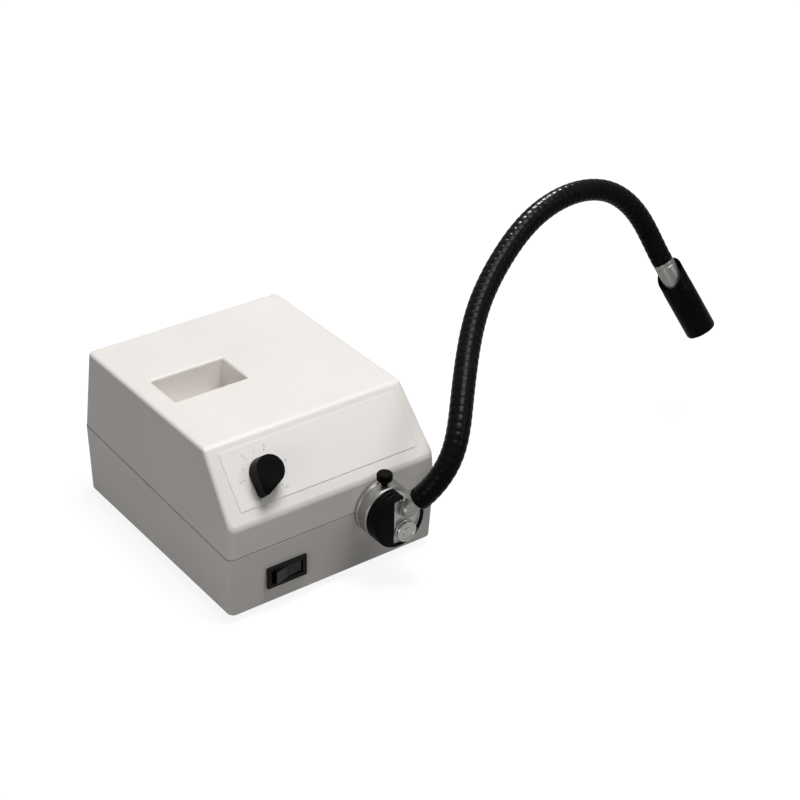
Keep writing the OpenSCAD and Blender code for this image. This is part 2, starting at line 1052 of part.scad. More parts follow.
module filter_ring() {
    color(grey_silver)
        at_port(-80)
            difference() {
                cylinder(r = 16, h = 4);
                translate([0, 0, 0.9])
                    cylinder(r = 12.05, h = 4);
                translate([0, 0, -1])
                    cylinder(r = 10.5, h = 4);
            }
}

module at_transformer() {
    translate([-50, 40, bottom_z + wall + 0.02])
        children();
}

module transformer_core() {
    color([0.35, 0.34, 0.33])
        at_transformer()
            difference() {
                translate([-33, -16, 0])
                    cube([66, 32, 55]);
                for (sx = [-1, 1])
                    translate([sx * 16.5 - 5.5, -20, 11])
                        cube([11, 40, 33]);
            }
}

module transformer_coil() {
    color([0.75, 0.45, 0.2])
        at_transformer()
            difference() {
                translate([-21.8, -26, 11.2])
                    cube([43.6, 52, 32.6]);
                translate([-11.2, -16.2, 5])
                    cube([22.4, 32.4, 50]);
                for (sx = [-1, 1])
                    translate([sx * 33 - 11.2, -16.2, 5])
                        cube([22.4, 32.4, 50]);
            }
}

module control_board() {
    color([0.1, 0.35, 0.2])
        translate([-50, -30, bottom_z + wall + 0.02]) {
            for (sx = [-1, 1], sy = [-1, 1])
                translate([sx * 25, sy * 20, 0])
                    cylinder(r = 3, h = 8);
            translate([-30, -25, 8])
                cube([60, 50, 1.6]);
            translate([-26, -18, 9.5])
                cube([18, 4, 22]);
            translate([-20, 6, 9.5])
                cylinder(r = 7, h = 20);
            translate([6, -10, 9.5])
                cube([16, 24, 12]);
        }
}

base_shell();
top_cover();
rubber_feet();
foot_screws();
cover_screws();
panel_overlay();
control_knob();
pot_shaft();
pot_body();
pot_nut();
rocker_frame();
power_rocker();
switch_terminals();
port_collar();
collar_nut();
thumbscrew();
adapter_cap();
adapter_body();
guide_ferrule();
port_plug();
neck_1();
neck_2();
neck_3();
neck_4();
neck_5();
neck_ball_1();
neck_ball_2();
neck_ball_3();
neck_ball_4();
fibres_1();
fibres_2();
fibres_3();
fibres_4();
fibres_5();
end_ferrule();
lens_barrel();
barrel_guide();
condenser_lens();
lens_ring();
rear_panel();
panel_screws();
fan_frame();
fan_rotor();
fan_grille();
fan_screws();
mains_inlet();
inlet_pins();
fuse_drawer();
fuse();
lamp_bracket();
halogen_lamp();
lamp_socket();
heat_filter();
filter_ring();
transformer_core();
transformer_coil();
control_board();
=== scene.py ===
"""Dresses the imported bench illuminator: a lamp house, its light port, a ribbed gooseneck and a focusing lens."""
import functools
import json
import logging
import math
from collections.abc import Callable, Iterable, Sequence
from dataclasses import dataclass
from enum import Enum

import bmesh
import bpy
from mathutils import Matrix, Vector


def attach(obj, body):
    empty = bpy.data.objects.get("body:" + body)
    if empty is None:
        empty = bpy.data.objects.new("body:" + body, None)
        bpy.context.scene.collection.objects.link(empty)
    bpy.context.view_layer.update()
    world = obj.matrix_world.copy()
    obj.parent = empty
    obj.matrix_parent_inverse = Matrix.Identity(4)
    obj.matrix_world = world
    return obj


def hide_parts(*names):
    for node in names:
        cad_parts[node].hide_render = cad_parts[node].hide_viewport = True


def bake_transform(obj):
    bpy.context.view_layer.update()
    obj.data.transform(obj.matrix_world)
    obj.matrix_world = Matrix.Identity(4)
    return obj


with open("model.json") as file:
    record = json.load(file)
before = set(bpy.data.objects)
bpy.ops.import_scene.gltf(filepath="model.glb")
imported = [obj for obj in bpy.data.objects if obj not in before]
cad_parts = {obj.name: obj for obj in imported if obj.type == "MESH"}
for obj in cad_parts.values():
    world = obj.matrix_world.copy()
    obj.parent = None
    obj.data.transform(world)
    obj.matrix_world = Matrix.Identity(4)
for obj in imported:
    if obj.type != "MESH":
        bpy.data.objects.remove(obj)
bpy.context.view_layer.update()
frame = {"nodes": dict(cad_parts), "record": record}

logging.basicConfig(level=logging.INFO, format="%(message)s")
LOG = logging.getLogger("illuminator")

MM = 0.001
RECORD = frame["record"]
BODY_OF = {node: body for body, nodes in RECORD["behaviour"]["bodies"].items() for node in nodes}
Colour = tuple[float, float, float]
Box = tuple[float, float, float, float]

# Places that several pieces share, in millimetres
PORT_X, PORT_Z = 36.4, 54.5
KNOB_X, KNOB_DOWN = -47.1, 29.1
COVER_SCREWS = (79.2, 86.0)
FACE_Y = 127.5

# Turns that point a lathe's axis to the front or to the back
FORWARD = Matrix.Rotation(math.pi / 2, 4, "X")
BACKWARD = Matrix.Rotation(-math.pi / 2, 4, "X")


# ---------------------------------------------------------------- shader maths


class Signal:
    """A number on a shader socket, so that shader maths reads as an ordinary expression."""

    def __init__(self, graph: "Graph", socket: bpy.types.NodeSocket) -> None:
        """Keep the socket and the graph that it belongs to."""
        self.graph = graph
        self.socket = socket

    def _math(self, operation: str, first: object, second: object) -> "Signal":
        """The result of one Math node on two numbers or signals."""
        return self.graph.number("ShaderNodeMath", {0: first, 1: second}, operation=operation)

    def __add__(self, other: object) -> "Signal":
        """Sum."""
        return self._math("ADD", self, other)

    def __radd__(self, other: object) -> "Signal":
        """Reflected sum."""
        return self._math("ADD", other, self)

    def __sub__(self, other: object) -> "Signal":
        """Difference."""
        return self._math("SUBTRACT", self, other)

    def __mul__(self, other: object) -> "Signal":
        """Product."""
        return self._math("MULTIPLY", self, other)

    def over(self, low: float, high: float) -> "Signal":
        """Ramp from 0 at low to 1 at high, held at both ends."""
        return self.graph.number(
            "ShaderNodeMapRange", {"Value": self, "From Min": low, "From Max": high}, clamp=True
        )


class Graph:
    """The node tree of one material, with a Principled shader at its end."""

    def __init__(self, name: str) -> None:
        """Start a material of this name with an empty tree."""
        self.material = bpy.data.materials.new(f"finish_{name}")
        self.material.use_nodes = True
        self.tree = self.material.node_tree
        self.tree.nodes.clear()
        self.output = self.tree.nodes.new("ShaderNodeOutputMaterial")
        self.shader = self.tree.nodes.new("ShaderNodeBsdfPrincipled")
        self.tree.links.new(self.shader.outputs["BSDF"], self.output.inputs["Surface"])
        self.place = self.add("ShaderNodeTexCoord", {}).outputs["Object"]

    def add(self, kind: str, inputs: dict, **settings: object) -> bpy.types.Node:
        """Add one node.

        Args:
            kind: Blender's type name of the node.
            inputs: Value, signal or socket for each input, by its name or number.
            **settings: Properties that are set first.

        Returns:
            The new node.
        """
        node = self.tree.nodes.new(kind)
        for key, value in settings.items():
            setattr(node, key, value)
        for key, value in inputs.items():
            self.feed(node.inputs[key], value)
        return node

    def feed(self, target: bpy.types.NodeSocket, value: object) -> None:
        """Link a signal or socket to an input, or set a constant on it.

        Args:
            target: The input socket.
            value: Signal, socket, number, colour or vector.
        """
        source = value.socket if isinstance(value, Signal) else value
        if isinstance(source, bpy.types.NodeSocket):
            self.tree.links.new(source, target)
        elif isinstance(value, (tuple, list)) and len(value) == 3 and target.type == "RGBA":
            target.default_value = (*value, 1.0)
        else:
            target.default_value = value

    def number(self, kind: str, inputs: dict, **settings: object) -> Signal:
        """Add a node and return its first output as a signal."""
        return Signal(self, self.add(kind, inputs, **settings).outputs[0])

    def noise(self, scale: float, detail: float, stretch: Sequence[float] = (1, 1, 1)) -> Signal:
        """Noise between 0 and 1 in object space.

        Args:
            scale: Features for each metre.
            detail: Octaves of detail.
            stretch: How the space is scaled along x, y and z first.

        Returns:
            The noise.
        """
        mapping = self.add("ShaderNodeMapping", {"Vector": self.place, "Scale": tuple(stretch)})
        node = self.add(
            "ShaderNodeTexNoise", {"Vector": mapping.outputs[0], "Scale": scale, "Detail": detail}
        )
        return Signal(self, node.outputs["Fac"])

    def blend(self, factor: object, first: object, second: object) -> bpy.types.NodeSocket:
        """Mix two colours or sockets: 0 gives the first, 1 the second."""
        inputs = {"Factor": factor, 6: first, 7: second}
        return self.add("ShaderNodeMix", inputs, data_type="RGBA").outputs[2]

    def bump(self, height: Signal, depth: float, strength: float) -> bpy.types.NodeSocket:
        """A normal bent by a height.

        Args:
            height: Signal between 0 and 1.
            depth: Height in metres that 1 stands for.
            strength: How much of the effect shows.

        Returns:
            The normal's socket.
        """
        inputs = {"Height": height, "Distance": depth, "Strength": strength}
        return self.add("ShaderNodeBump", inputs).outputs[0]

    def surface(self, **values: object) -> bpy.types.Material:
        """Set the Principled shader's sockets.

        Args:
            **values: Sockets by name, with underscores for spaces.

        Returns:
            The finished material.
        """
        for key, value in values.items():
            self.feed(self.shader.inputs[key.replace("_", " ")], value)
        return self.material


def tint(colour: Colour, factor: float) -> Colour:
    """A colour made lighter or darker by a factor."""
    return tuple(min(1.0, part * factor) for part in colour)


@dataclass(frozen=True)
class Moulded:
    """Moulded plastic with a spark-eroded grain and light handling marks."""

    name: str
    colour: Colour
    roughness: float = 0.45
    grain: float = 900.0
    grain_depth: float = 0.00003
    scuffs: float = 0.10
    shine: float = 0.5

    def make(self) -> bpy.types.Material:
        """Build the material."""
        g = Graph(self.name)
        cloud = g.noise(14.0, 5.0)
        grain = g.noise(self.grain, 3.0)
        rub = g.noise(60.0, 6.0, (1.0, 0.35, 2.2)).over(0.56, 0.72)
        base = g.blend(cloud.over(0.35, 0.7), tint(self.colour, 0.965), tint(self.colour, 1.02))
        worn = g.blend(rub * self.scuffs, base, tint(self.colour, 1.12))
        return g.surface(
            Base_Color=worn,
            Roughness=self.roughness + (grain - 0.5) * 0.10 - rub * 0.10,
            Normal=g.bump(grain, self.grain_depth, 0.6),
            Specular_IOR_Level=self.shine,
        )


@dataclass(frozen=True)
class Film:
    """A smooth polyester overlay."""

    name: str
    colour: Colour

    def make(self) -> bpy.types.Material:
        """Build the material."""
        g = Graph(self.name)
        wave = g.noise(35.0, 2.0)
        speck = g.noise(1500.0, 2.0)
        smear = g.noise(22.0, 5.0, (0.6, 1.4, 1.0)).over(0.5, 0.75)
        return g.surface(
            Base_Color=g.blend(smear, self.colour, tint(self.colour, 0.975)),
            Roughness=0.32 + smear * 0.12 + (speck - 0.5) * 0.06,
            Normal=g.bump(wave, 0.00025, 0.25),
        )


@dataclass(frozen=True)
class Metal:
    """Turned, brushed or plated metal with fine tool marks."""

    name: str
    colour: Colour
    roughness: float
    marks: tuple[float, float, float]
    mark_depth: float
    tarnish: float = 0.10

    def make(self) -> bpy.types.Material:
        """Build the material."""
        g = Graph(self.name)
        lines = g.noise(260.0, 4.0, self.marks)
        stain = g.noise(45.0, 5.0).over(0.45, 0.75)
        return g.surface(
            Base_Color=g.blend(stain * self.tarnish, self.colour, tint(self.colour, 0.72)),
            Metallic=1.0,
            Roughness=self.roughness + (lines - 0.5) * 0.16 + stain * 0.07,
            Normal=g.bump(lines, self.mark_depth, 0.5),
        )


@dataclass(frozen=True)
class BlackCoat:
    """Black anodised or painted metal, rubbed to a dull shine in scattered patches."""

    name: str
    colour: Colour
    roughness: float
    bare: Colour
    wear: float
    shine: float

    def make(self) -> bpy.types.Material:
        """Build the material."""
        g = Graph(self.name)
        fine = g.noise(700.0, 3.0)
        patch = g.noise(90.0, 6.0).over(0.55, 0.75)
        dust = g.noise(320.0, 3.0).over(0.66, 0.8)
        base = g.blend(patch * self.wear, self.colour, self.bare)
        dusty = g.blend(dust * 0.02, base, (0.35, 0.34, 0.32))
        return g.surface(
            Base_Color=dusty,
            Roughness=self.roughness + (fine - 0.5) * 0.12 + patch * 0.08,
            Normal=g.bump(fine, 0.000015, 0.6),
            Specular_IOR_Level=self.shine,
        )


@dataclass(frozen=True)
class Clear:
    """Polished glass with a faint coating and dust."""

    name: str
    colour: Colour
    roughness: float = 0.02

    def make(self) -> bpy.types.Material:
        """Build the material."""
        g = Graph(self.name)
        dust = g.noise(500.0, 4.0).over(0.6, 0.8)
        return g.surface(
            Base_Color=g.blend(dust * 0.2, self.colour, tint(self.colour, 0.8)),
            Roughness=self.roughness + dust * 0.06,
            Transmission_Weight=0.9,
            IOR=1.5,
        )


@dataclass(frozen=True)
class Stock:
    """A plain inner stuff with layers or threads that run one way."""

    name: str
    colour: Colour
    second: Colour
    pitch: float
    stretch: tuple[float, float, float]
    roughness: float
    metallic: float = 0.0

    def make(self) -> bpy.types.Material:
        """Build the material."""
        g = Graph(self.name)
        layers = g.noise(self.pitch, 2.0, self.stretch)
        blotch = g.noise(50.0, 4.0)
        return g.surface(
            Base_Color=g.blend(layers.over(0.4, 0.62), self.colour, self.second),
            Metallic=self.metallic,
            Roughness=self.roughness + (blotch - 0.5) * 0.2,
            Normal=g.bump(layers, 0.0002, 0.5),
        )


class Look(Enum):
    """Every finish on the object."""

    SHELL = Moulded("shell_plastic", (0.862, 0.826, 0.792))
    FILM = Film("panel_film", (0.87, 0.84, 0.81))
    PRINT = Moulded("dial_print", (0.47, 0.46, 0.45), 0.5, 1200.0, 0.00001, 0.05)
    BLACK_PLASTIC = Moulded("black_plastic", (0.006, 0.006, 0.006), 0.42, 1100.0, 0.00003, 0.20, 0.15)
    KNOB = Moulded("knob_plastic", (0.002, 0.002, 0.002), 0.40, 1300.0, 0.00002, 0.20, 0.06)
    ROCKER = Moulded("rocker_plastic", (0.006, 0.006, 0.006), 0.24, 1500.0, 0.00001, 0.20, 0.35)
    RUBBER = Moulded("foot_rubber", (0.028, 0.027, 0.026), 0.72, 700.0, 0.00006, 0.25)
    HOSE = BlackCoat("hose_black", (0.003, 0.003, 0.003), 0.22, (0.008, 0.008, 0.0075), 0.25, 0.05)
    ANODISED = BlackCoat("anodised_black", (0.002, 0.002, 0.002), 0.32, (0.012, 0.012, 0.0115), 0.2, 0.06)
    DARK = BlackCoat("anodised_grey", (0.09, 0.09, 0.088), 0.38, (0.3, 0.3, 0.29), 0.2, 0.4)
    ALUMINIUM = Metal("turned_aluminium", (0.60, 0.595, 0.58), 0.30, (1.0, 7.0, 1.0), 0.00001)
    SILVER = Metal("silver_ferrule", (0.42, 0.415, 0.40), 0.38, (1.0, 1.0, 1.0), 0.000006, 0.08)
    PANEL = Metal("rear_panel_aluminium", (0.62, 0.615, 0.60), 0.36, (0.5, 1.0, 14.0), 0.00003)
    STEEL = Metal("bright_steel", (0.62, 0.61, 0.59), 0.24, (1.0, 1.0, 1.0), 0.00001, 0.2)
    BRASS = Metal("plain_brass", (0.66, 0.50, 0.24), 0.28, (1.0, 6.0, 1.0), 0.00001, 0.25)
    GLASS = Clear("clear_glass", (0.93, 0.96, 0.95))
    LAMP_GLASS = Clear("coated_glass", (0.78, 0.86, 0.93), 0.05)
    FIBRE = Stock("glass_fibre", (0.62, 0.59, 0.48), (0.40, 0.38, 0.31), 900.0, (0.1, 1.0, 1.0), 0.35)
    CERAMIC = Moulded("lamp_ceramic", (0.72, 0.68, 0.58), 0.30, 600.0, 0.00003, 0.1)
    CORE = Stock("core_iron", (0.10, 0.095, 0.09), (0.19, 0.18, 0.17), 300.0, (0.05, 6.0, 0.05), 0.5, 0.6)
    COPPER = Stock("copper_wire", (0.55, 0.22, 0.09), (0.30, 0.11, 0.05), 260.0, (0.05, 0.05, 6.0), 0.3, 0.8)
    BOARD = Stock("circuit_board", (0.02, 0.16, 0.07), (0.03, 0.22, 0.10), 240.0, (1.0, 1.0, 1.0), 0.4)

    @functools.cache
    def material(self) -> bpy.types.Material:
        """The finish's material, made once."""
        return self.value.make()


# ---------------------------------------------------------------- mesh tools


def sharp_edges(
    bm: bmesh.types.BMesh, angle: float, low: float = -math.inf, high: float = math.inf
) -> list[bmesh.types.BMEdge]:
    """Edges whose two faces meet at more than an angle.

    Args:
        bm: The mesh.
        angle: Least angle in degrees.
        low: Both ends lie above this height, in millimetres.
        high: Both ends lie below this height, in millimetres.

    Returns:
        The edges.
    """
    least = math.radians(angle)
    bm.normal_update()
    return [
        e for e in bm.edges
        if len(e.link_faces) == 2 and e.calc_face_angle(0.0) > least
        and all(low * MM < v.co.z < high * MM for v in e.verts)
    ]


def edges_along(bm: bmesh.types.BMesh, axis: int, least: float = 0.9) -> list[bmesh.types.BMEdge]:
    """Edges that run along x, y or z (0, 1 or 2), as far as the least share says."""
    return [e for e in bm.edges if abs((e.verts[0].co - e.verts[1].co).normalized()[axis]) > least]


def bevel(
    bm: bmesh.types.BMesh, edges: Sequence[bmesh.types.BMEdge], width: float, segments: int, clamp: bool = True
) -> None:
    """Round some edges.

    Args:
        bm: The mesh.
        edges: The edges to round.
        width: Width in millimetres.
        segments: Faces across the rounding.
        clamp: Whether short edges nearby make it narrower.
    """
    bmesh.ops.bevel(
        bm, geom=list(edges), offset=width * MM, offset_type="OFFSET", segments=segments,
        profile=0.5, affect="EDGES", clamp_overlap=clamp, material=-1,
    )


def spun(profile: Sequence[tuple[float, float]], closed: bool, steps: int) -> bmesh.types.BMesh:
    """Turn a line about Z.

    Args:
        profile: Radius and height of each of its corners, in metres.
        closed: Whether the last corner joins the first.
        steps: Faces round the turn.

    Returns:
        The mesh.
    """
    bm = bmesh.new()
    verts = [bm.verts.new((r, 0.0, z)) for r, z in profile]
    for a, b in zip(verts, verts[1:] + (verts[:1] if closed else [])):
        bm.edges.new((a, b))
    bmesh.ops.spin(
        bm, geom=bm.verts[:] + bm.edges[:], cent=(0, 0, 0), axis=(0, 0, 1), angle=2 * math.pi,
        steps=steps, use_merge=True, use_duplicate=False,
    )
    bmesh.ops.remove_doubles(bm, verts=bm.verts[:], dist=1e-6)
    bmesh.ops.dissolve_degenerate(bm, dist=1e-6, edges=bm.edges[:])
    bmesh.ops.recalc_face_normals(bm, faces=bm.faces[:])
    return bm


def lathe(profile: Sequence[tuple[float, float]], steps: int, edge: float) -> bmesh.types.BMesh:
    """Turn a profile about Z and round its sharp edges.

    Args:
        profile: Radius and height of each corner in millimetres. A profile off the axis is closed.
        steps: Faces round the turn.
        edge: Width of the rounding, in millimetres.

    Returns:
        The turned mesh, in metres.
    """
    closed = profile[0][0] > 0 or profile[-1][0] > 0
    bm = spun([(r * MM, z * MM) for r, z in profile], closed, steps)
    if edge > 0:
        bevel(bm, sharp_edges(bm, 28.0), edge, 2)
    return bm


def tapered(low: Box, z0: float, high: Box, z1: float) -> bmesh.types.BMesh:
    """A block whose top differs from its bottom.

    Args:
        low: Least and greatest x, then least and greatest y, of the bottom.
        z0: Height of the bottom.
        high: The same of the top.
        z1: Height of the top.

    Returns:
        The mesh, in metres.
    """
    bm = bmesh.new()
    bmesh.ops.create_cube(bm, size=2.0)
    for v in bm.verts:
        sides, z = (high, z1) if v.co.z > 0 else (low, z0)
        v.co = Vector((sides[v.co.x > 0], sides[2 + (v.co.y > 0)], z)) * MM
    return bm


def block(low: Sequence[float], high: Sequence[float]) -> bmesh.types.BMesh:
    """A straight block between two corners, in millimetres."""
    sides = (low[0], high[0], low[1], high[1])
    return tapered(sides, low[2], sides, high[2])


def rod(radius: float, low: float, high: float, steps: int = 64) -> bmesh.types.BMesh:
    """A round bar about Z.

    Args:
        radius: Its radius, in millimetres.
        low: Height of its bottom, in millimetres.
        high: Height of its top, in millimetres.
        steps: Faces round it.

    Returns:
        The mesh, in metres.
    """
    bm = bmesh.new()
    bmesh.ops.create_cone(
        bm, cap_ends=True, segments=steps, radius1=radius * MM, radius2=radius * MM, depth=(high - low) * MM
    )
    bmesh.ops.translate(bm, verts=bm.verts[:], vec=(0, 0, (low + high) / 2 * MM))
    return bm


def shift(x: float, y: float, z: float) -> Matrix:
    """A move, in millimetres."""
    return Matrix.Translation(Vector((x, y, z)) * MM)


def mirrored(x: float, y: float) -> list[Matrix]:
    """Moves to four places that mirror each other in x and y, in millimetres."""
    return [shift(sx * x, sy * y, 0) for sx in (-1, 1) for sy in (-1, 1)]


def moved(bm: bmesh.types.BMesh, matrix: Matrix) -> bmesh.types.BMesh:
    """The mesh itself, after it is placed by a matrix."""
    bmesh.ops.transform(bm, matrix=matrix, verts=bm.verts[:])
    return bm


def cut(bm: bmesh.types.BMesh, point: Sequence[float], normal: Sequence[float]) -> None:
    """Cut away what lies in front of a plane and close the cut.

    Args:
        bm: The mesh.
        point: A point of the plane, in millimetres.
        normal: Direction of the side that goes.
    """
    found = bmesh.ops.bisect_plane(
        bm, geom=bm.verts[:] + bm.edges[:] + bm.faces[:], plane_co=Vector(point) * MM,
        plane_no=Vector(normal), clear_outer=True,
    )
    rim = [e for e in found["geom_cut"] if isinstance(e, bmesh.types.BMEdge)]
    bmesh.ops.holes_fill(bm, edges=rim, sides=0)
    bmesh.ops.recalc_face_normals(bm, faces=bm.faces[:])


def to_object(bm: bmesh.types.BMesh, name: str) -> bpy.types.Object:
    """Put a mesh into the scene as an object.

    Args:
        bm: The mesh. It is freed.
        name: The object's name.

    Returns:
        The object.
    """
    mesh = bpy.data.meshes.new(name)
    bm.to_mesh(mesh)
    bm.free()
    thing = bpy.data.objects.new(name, mesh)
    bpy.context.scene.collection.objects.link(thing)
    return thing


def from_curve(curve: bpy.types.Curve) -> bmesh.types.BMesh:
    """The mesh of a curve or a text.

    Args:
        curve: The curve or text. It is removed.

    Returns:
        Its mesh.
    """
    drawn = bpy.data.objects.new("drawn", curve)
    bpy.context.scene.collection.objects.link(drawn)
    bpy.context.view_layer.update()
    bm = bmesh.new()
    bm.from_mesh(drawn.evaluated_get(bpy.context.evaluated_depsgraph_get()).to_mesh())
    bpy.data.objects.remove(drawn)
    bpy.data.curves.remove(curve)
    return bm


def joined(parts: Iterable[bmesh.types.BMesh]) -> bmesh.types.BMesh:
    """Put meshes side by side in one.

    Args:
        parts: The meshes. They are freed.

    Returns:
        The whole.
    """
    whole = bmesh.new()
    for part in parts:
        mesh = bpy.data.meshes.new("spare")
        part.to_mesh(mesh)
        part.free()
        whole.from_mesh(mesh)
        bpy.data.meshes.remove(mesh)
    return whole


def carve(bm: bmesh.types.BMesh, cutters: Sequence[bmesh.types.BMesh]) -> bmesh.types.BMesh:
    """Cut other meshes out of a mesh, one after the other.

    Args:
        bm: The mesh that is cut. It is freed.
        cutters: The meshes that are cut out. They are freed.

    Returns:
        The new mesh.
    """
    work = to_object(bm, "work")
    tools = [to_object(tool, "tool") for tool in cutters]
    for tool in tools:
        step = work.modifiers.new("carve", "BOOLEAN")
        step.operation, step.object, step.solver = "DIFFERENCE", tool, "EXACT"
    bpy.context.view_layer.update()
    shaped = work.evaluated_get(bpy.context.evaluated_depsgraph_get())
    result = bmesh.new()
    result.from_mesh(shaped.to_mesh())
    shaped.to_mesh_clear()
    for thing in [work, *tools]:
        data = thing.data
        bpy.data.objects.remove(thing)
        bpy.data.meshes.remove(data)
    bmesh.ops.remove_doubles(result, verts=result.verts[:], dist=2e-6)
    return result


def piece(
    bm: bmesh.types.BMesh, name: str, node: str, look: Look, replaces: Sequence[str] | None = None,
    crease: float = 38.0, flat_faces: bool = False, rides: bool = True,
) -> bpy.types.Object:
    """Make a finished piece of the object.

    Args:
        bm: Its mesh, in place. It is freed.
        name: Its name.
        node: The CAD node whose body it rides on.
        look: Its finish.
        replaces: The nodes that it stands for. None means the node itself.
        crease: Edges sharper than this many degrees stay sharp.
        flat_faces: Whether large flat faces keep straight normals next to rounded edges.
        rides: Whether it rides on the node's body.

    Returns:
        The new object.
    """
    limit = math.radians(crease)
    bm.normal_update()
    for face in bm.faces:
        face.smooth = True
    for e in bm.edges:
        e.smooth = len(e.link_faces) != 2 or e.calc_face_angle(0.0) < limit
    thing = to_object(bm, name)
    thing.data.materials.clear()
    thing.data.materials.append(look.material())
    if flat_faces:
        weighted = thing.modifiers.new("straight_normals", "WEIGHTED_NORMAL")
        weighted.keep_sharp = True
    if rides:
        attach(thing, BODY_OF[node])
    stands_for = [node] if replaces is None else list(replaces)
    if stands_for:
        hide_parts(*stands_for)
    LOG.info("%s: %d faces, on %s", name, len(thing.data.polygons), BODY_OF[node])
    return thing


def refined(node: str, look: Look, width: float = 0.25, segments: int = 2, angle: float = 35.0) -> None:
    """A cleaned copy of a CAD node with small rounded edges, standing for the node.

    Args:
        node: The CAD node.
        look: Its finish.
        width: Width of the rounding, in millimetres.
        segments: Faces across the rounding.
        angle: Edges sharper than this many degrees are rounded.
    """
    bm = bmesh.new()
    bm.from_mesh(frame["nodes"][node].data)
    bmesh.ops.remove_doubles(bm, verts=bm.verts[:], dist=1e-6)
    bmesh.ops.dissolve_limit(
        bm, angle_limit=math.radians(0.6), verts=bm.verts[:], edges=bm.edges[:], use_dissolve_boundaries=False
    )
    bevel(bm, sharp_edges(bm, angle), width, segments)
    piece(bm, f"{node}_detailed", node, look, crease=32.0, flat_faces=True)


# ---------------------------------------------------------------- lamp house


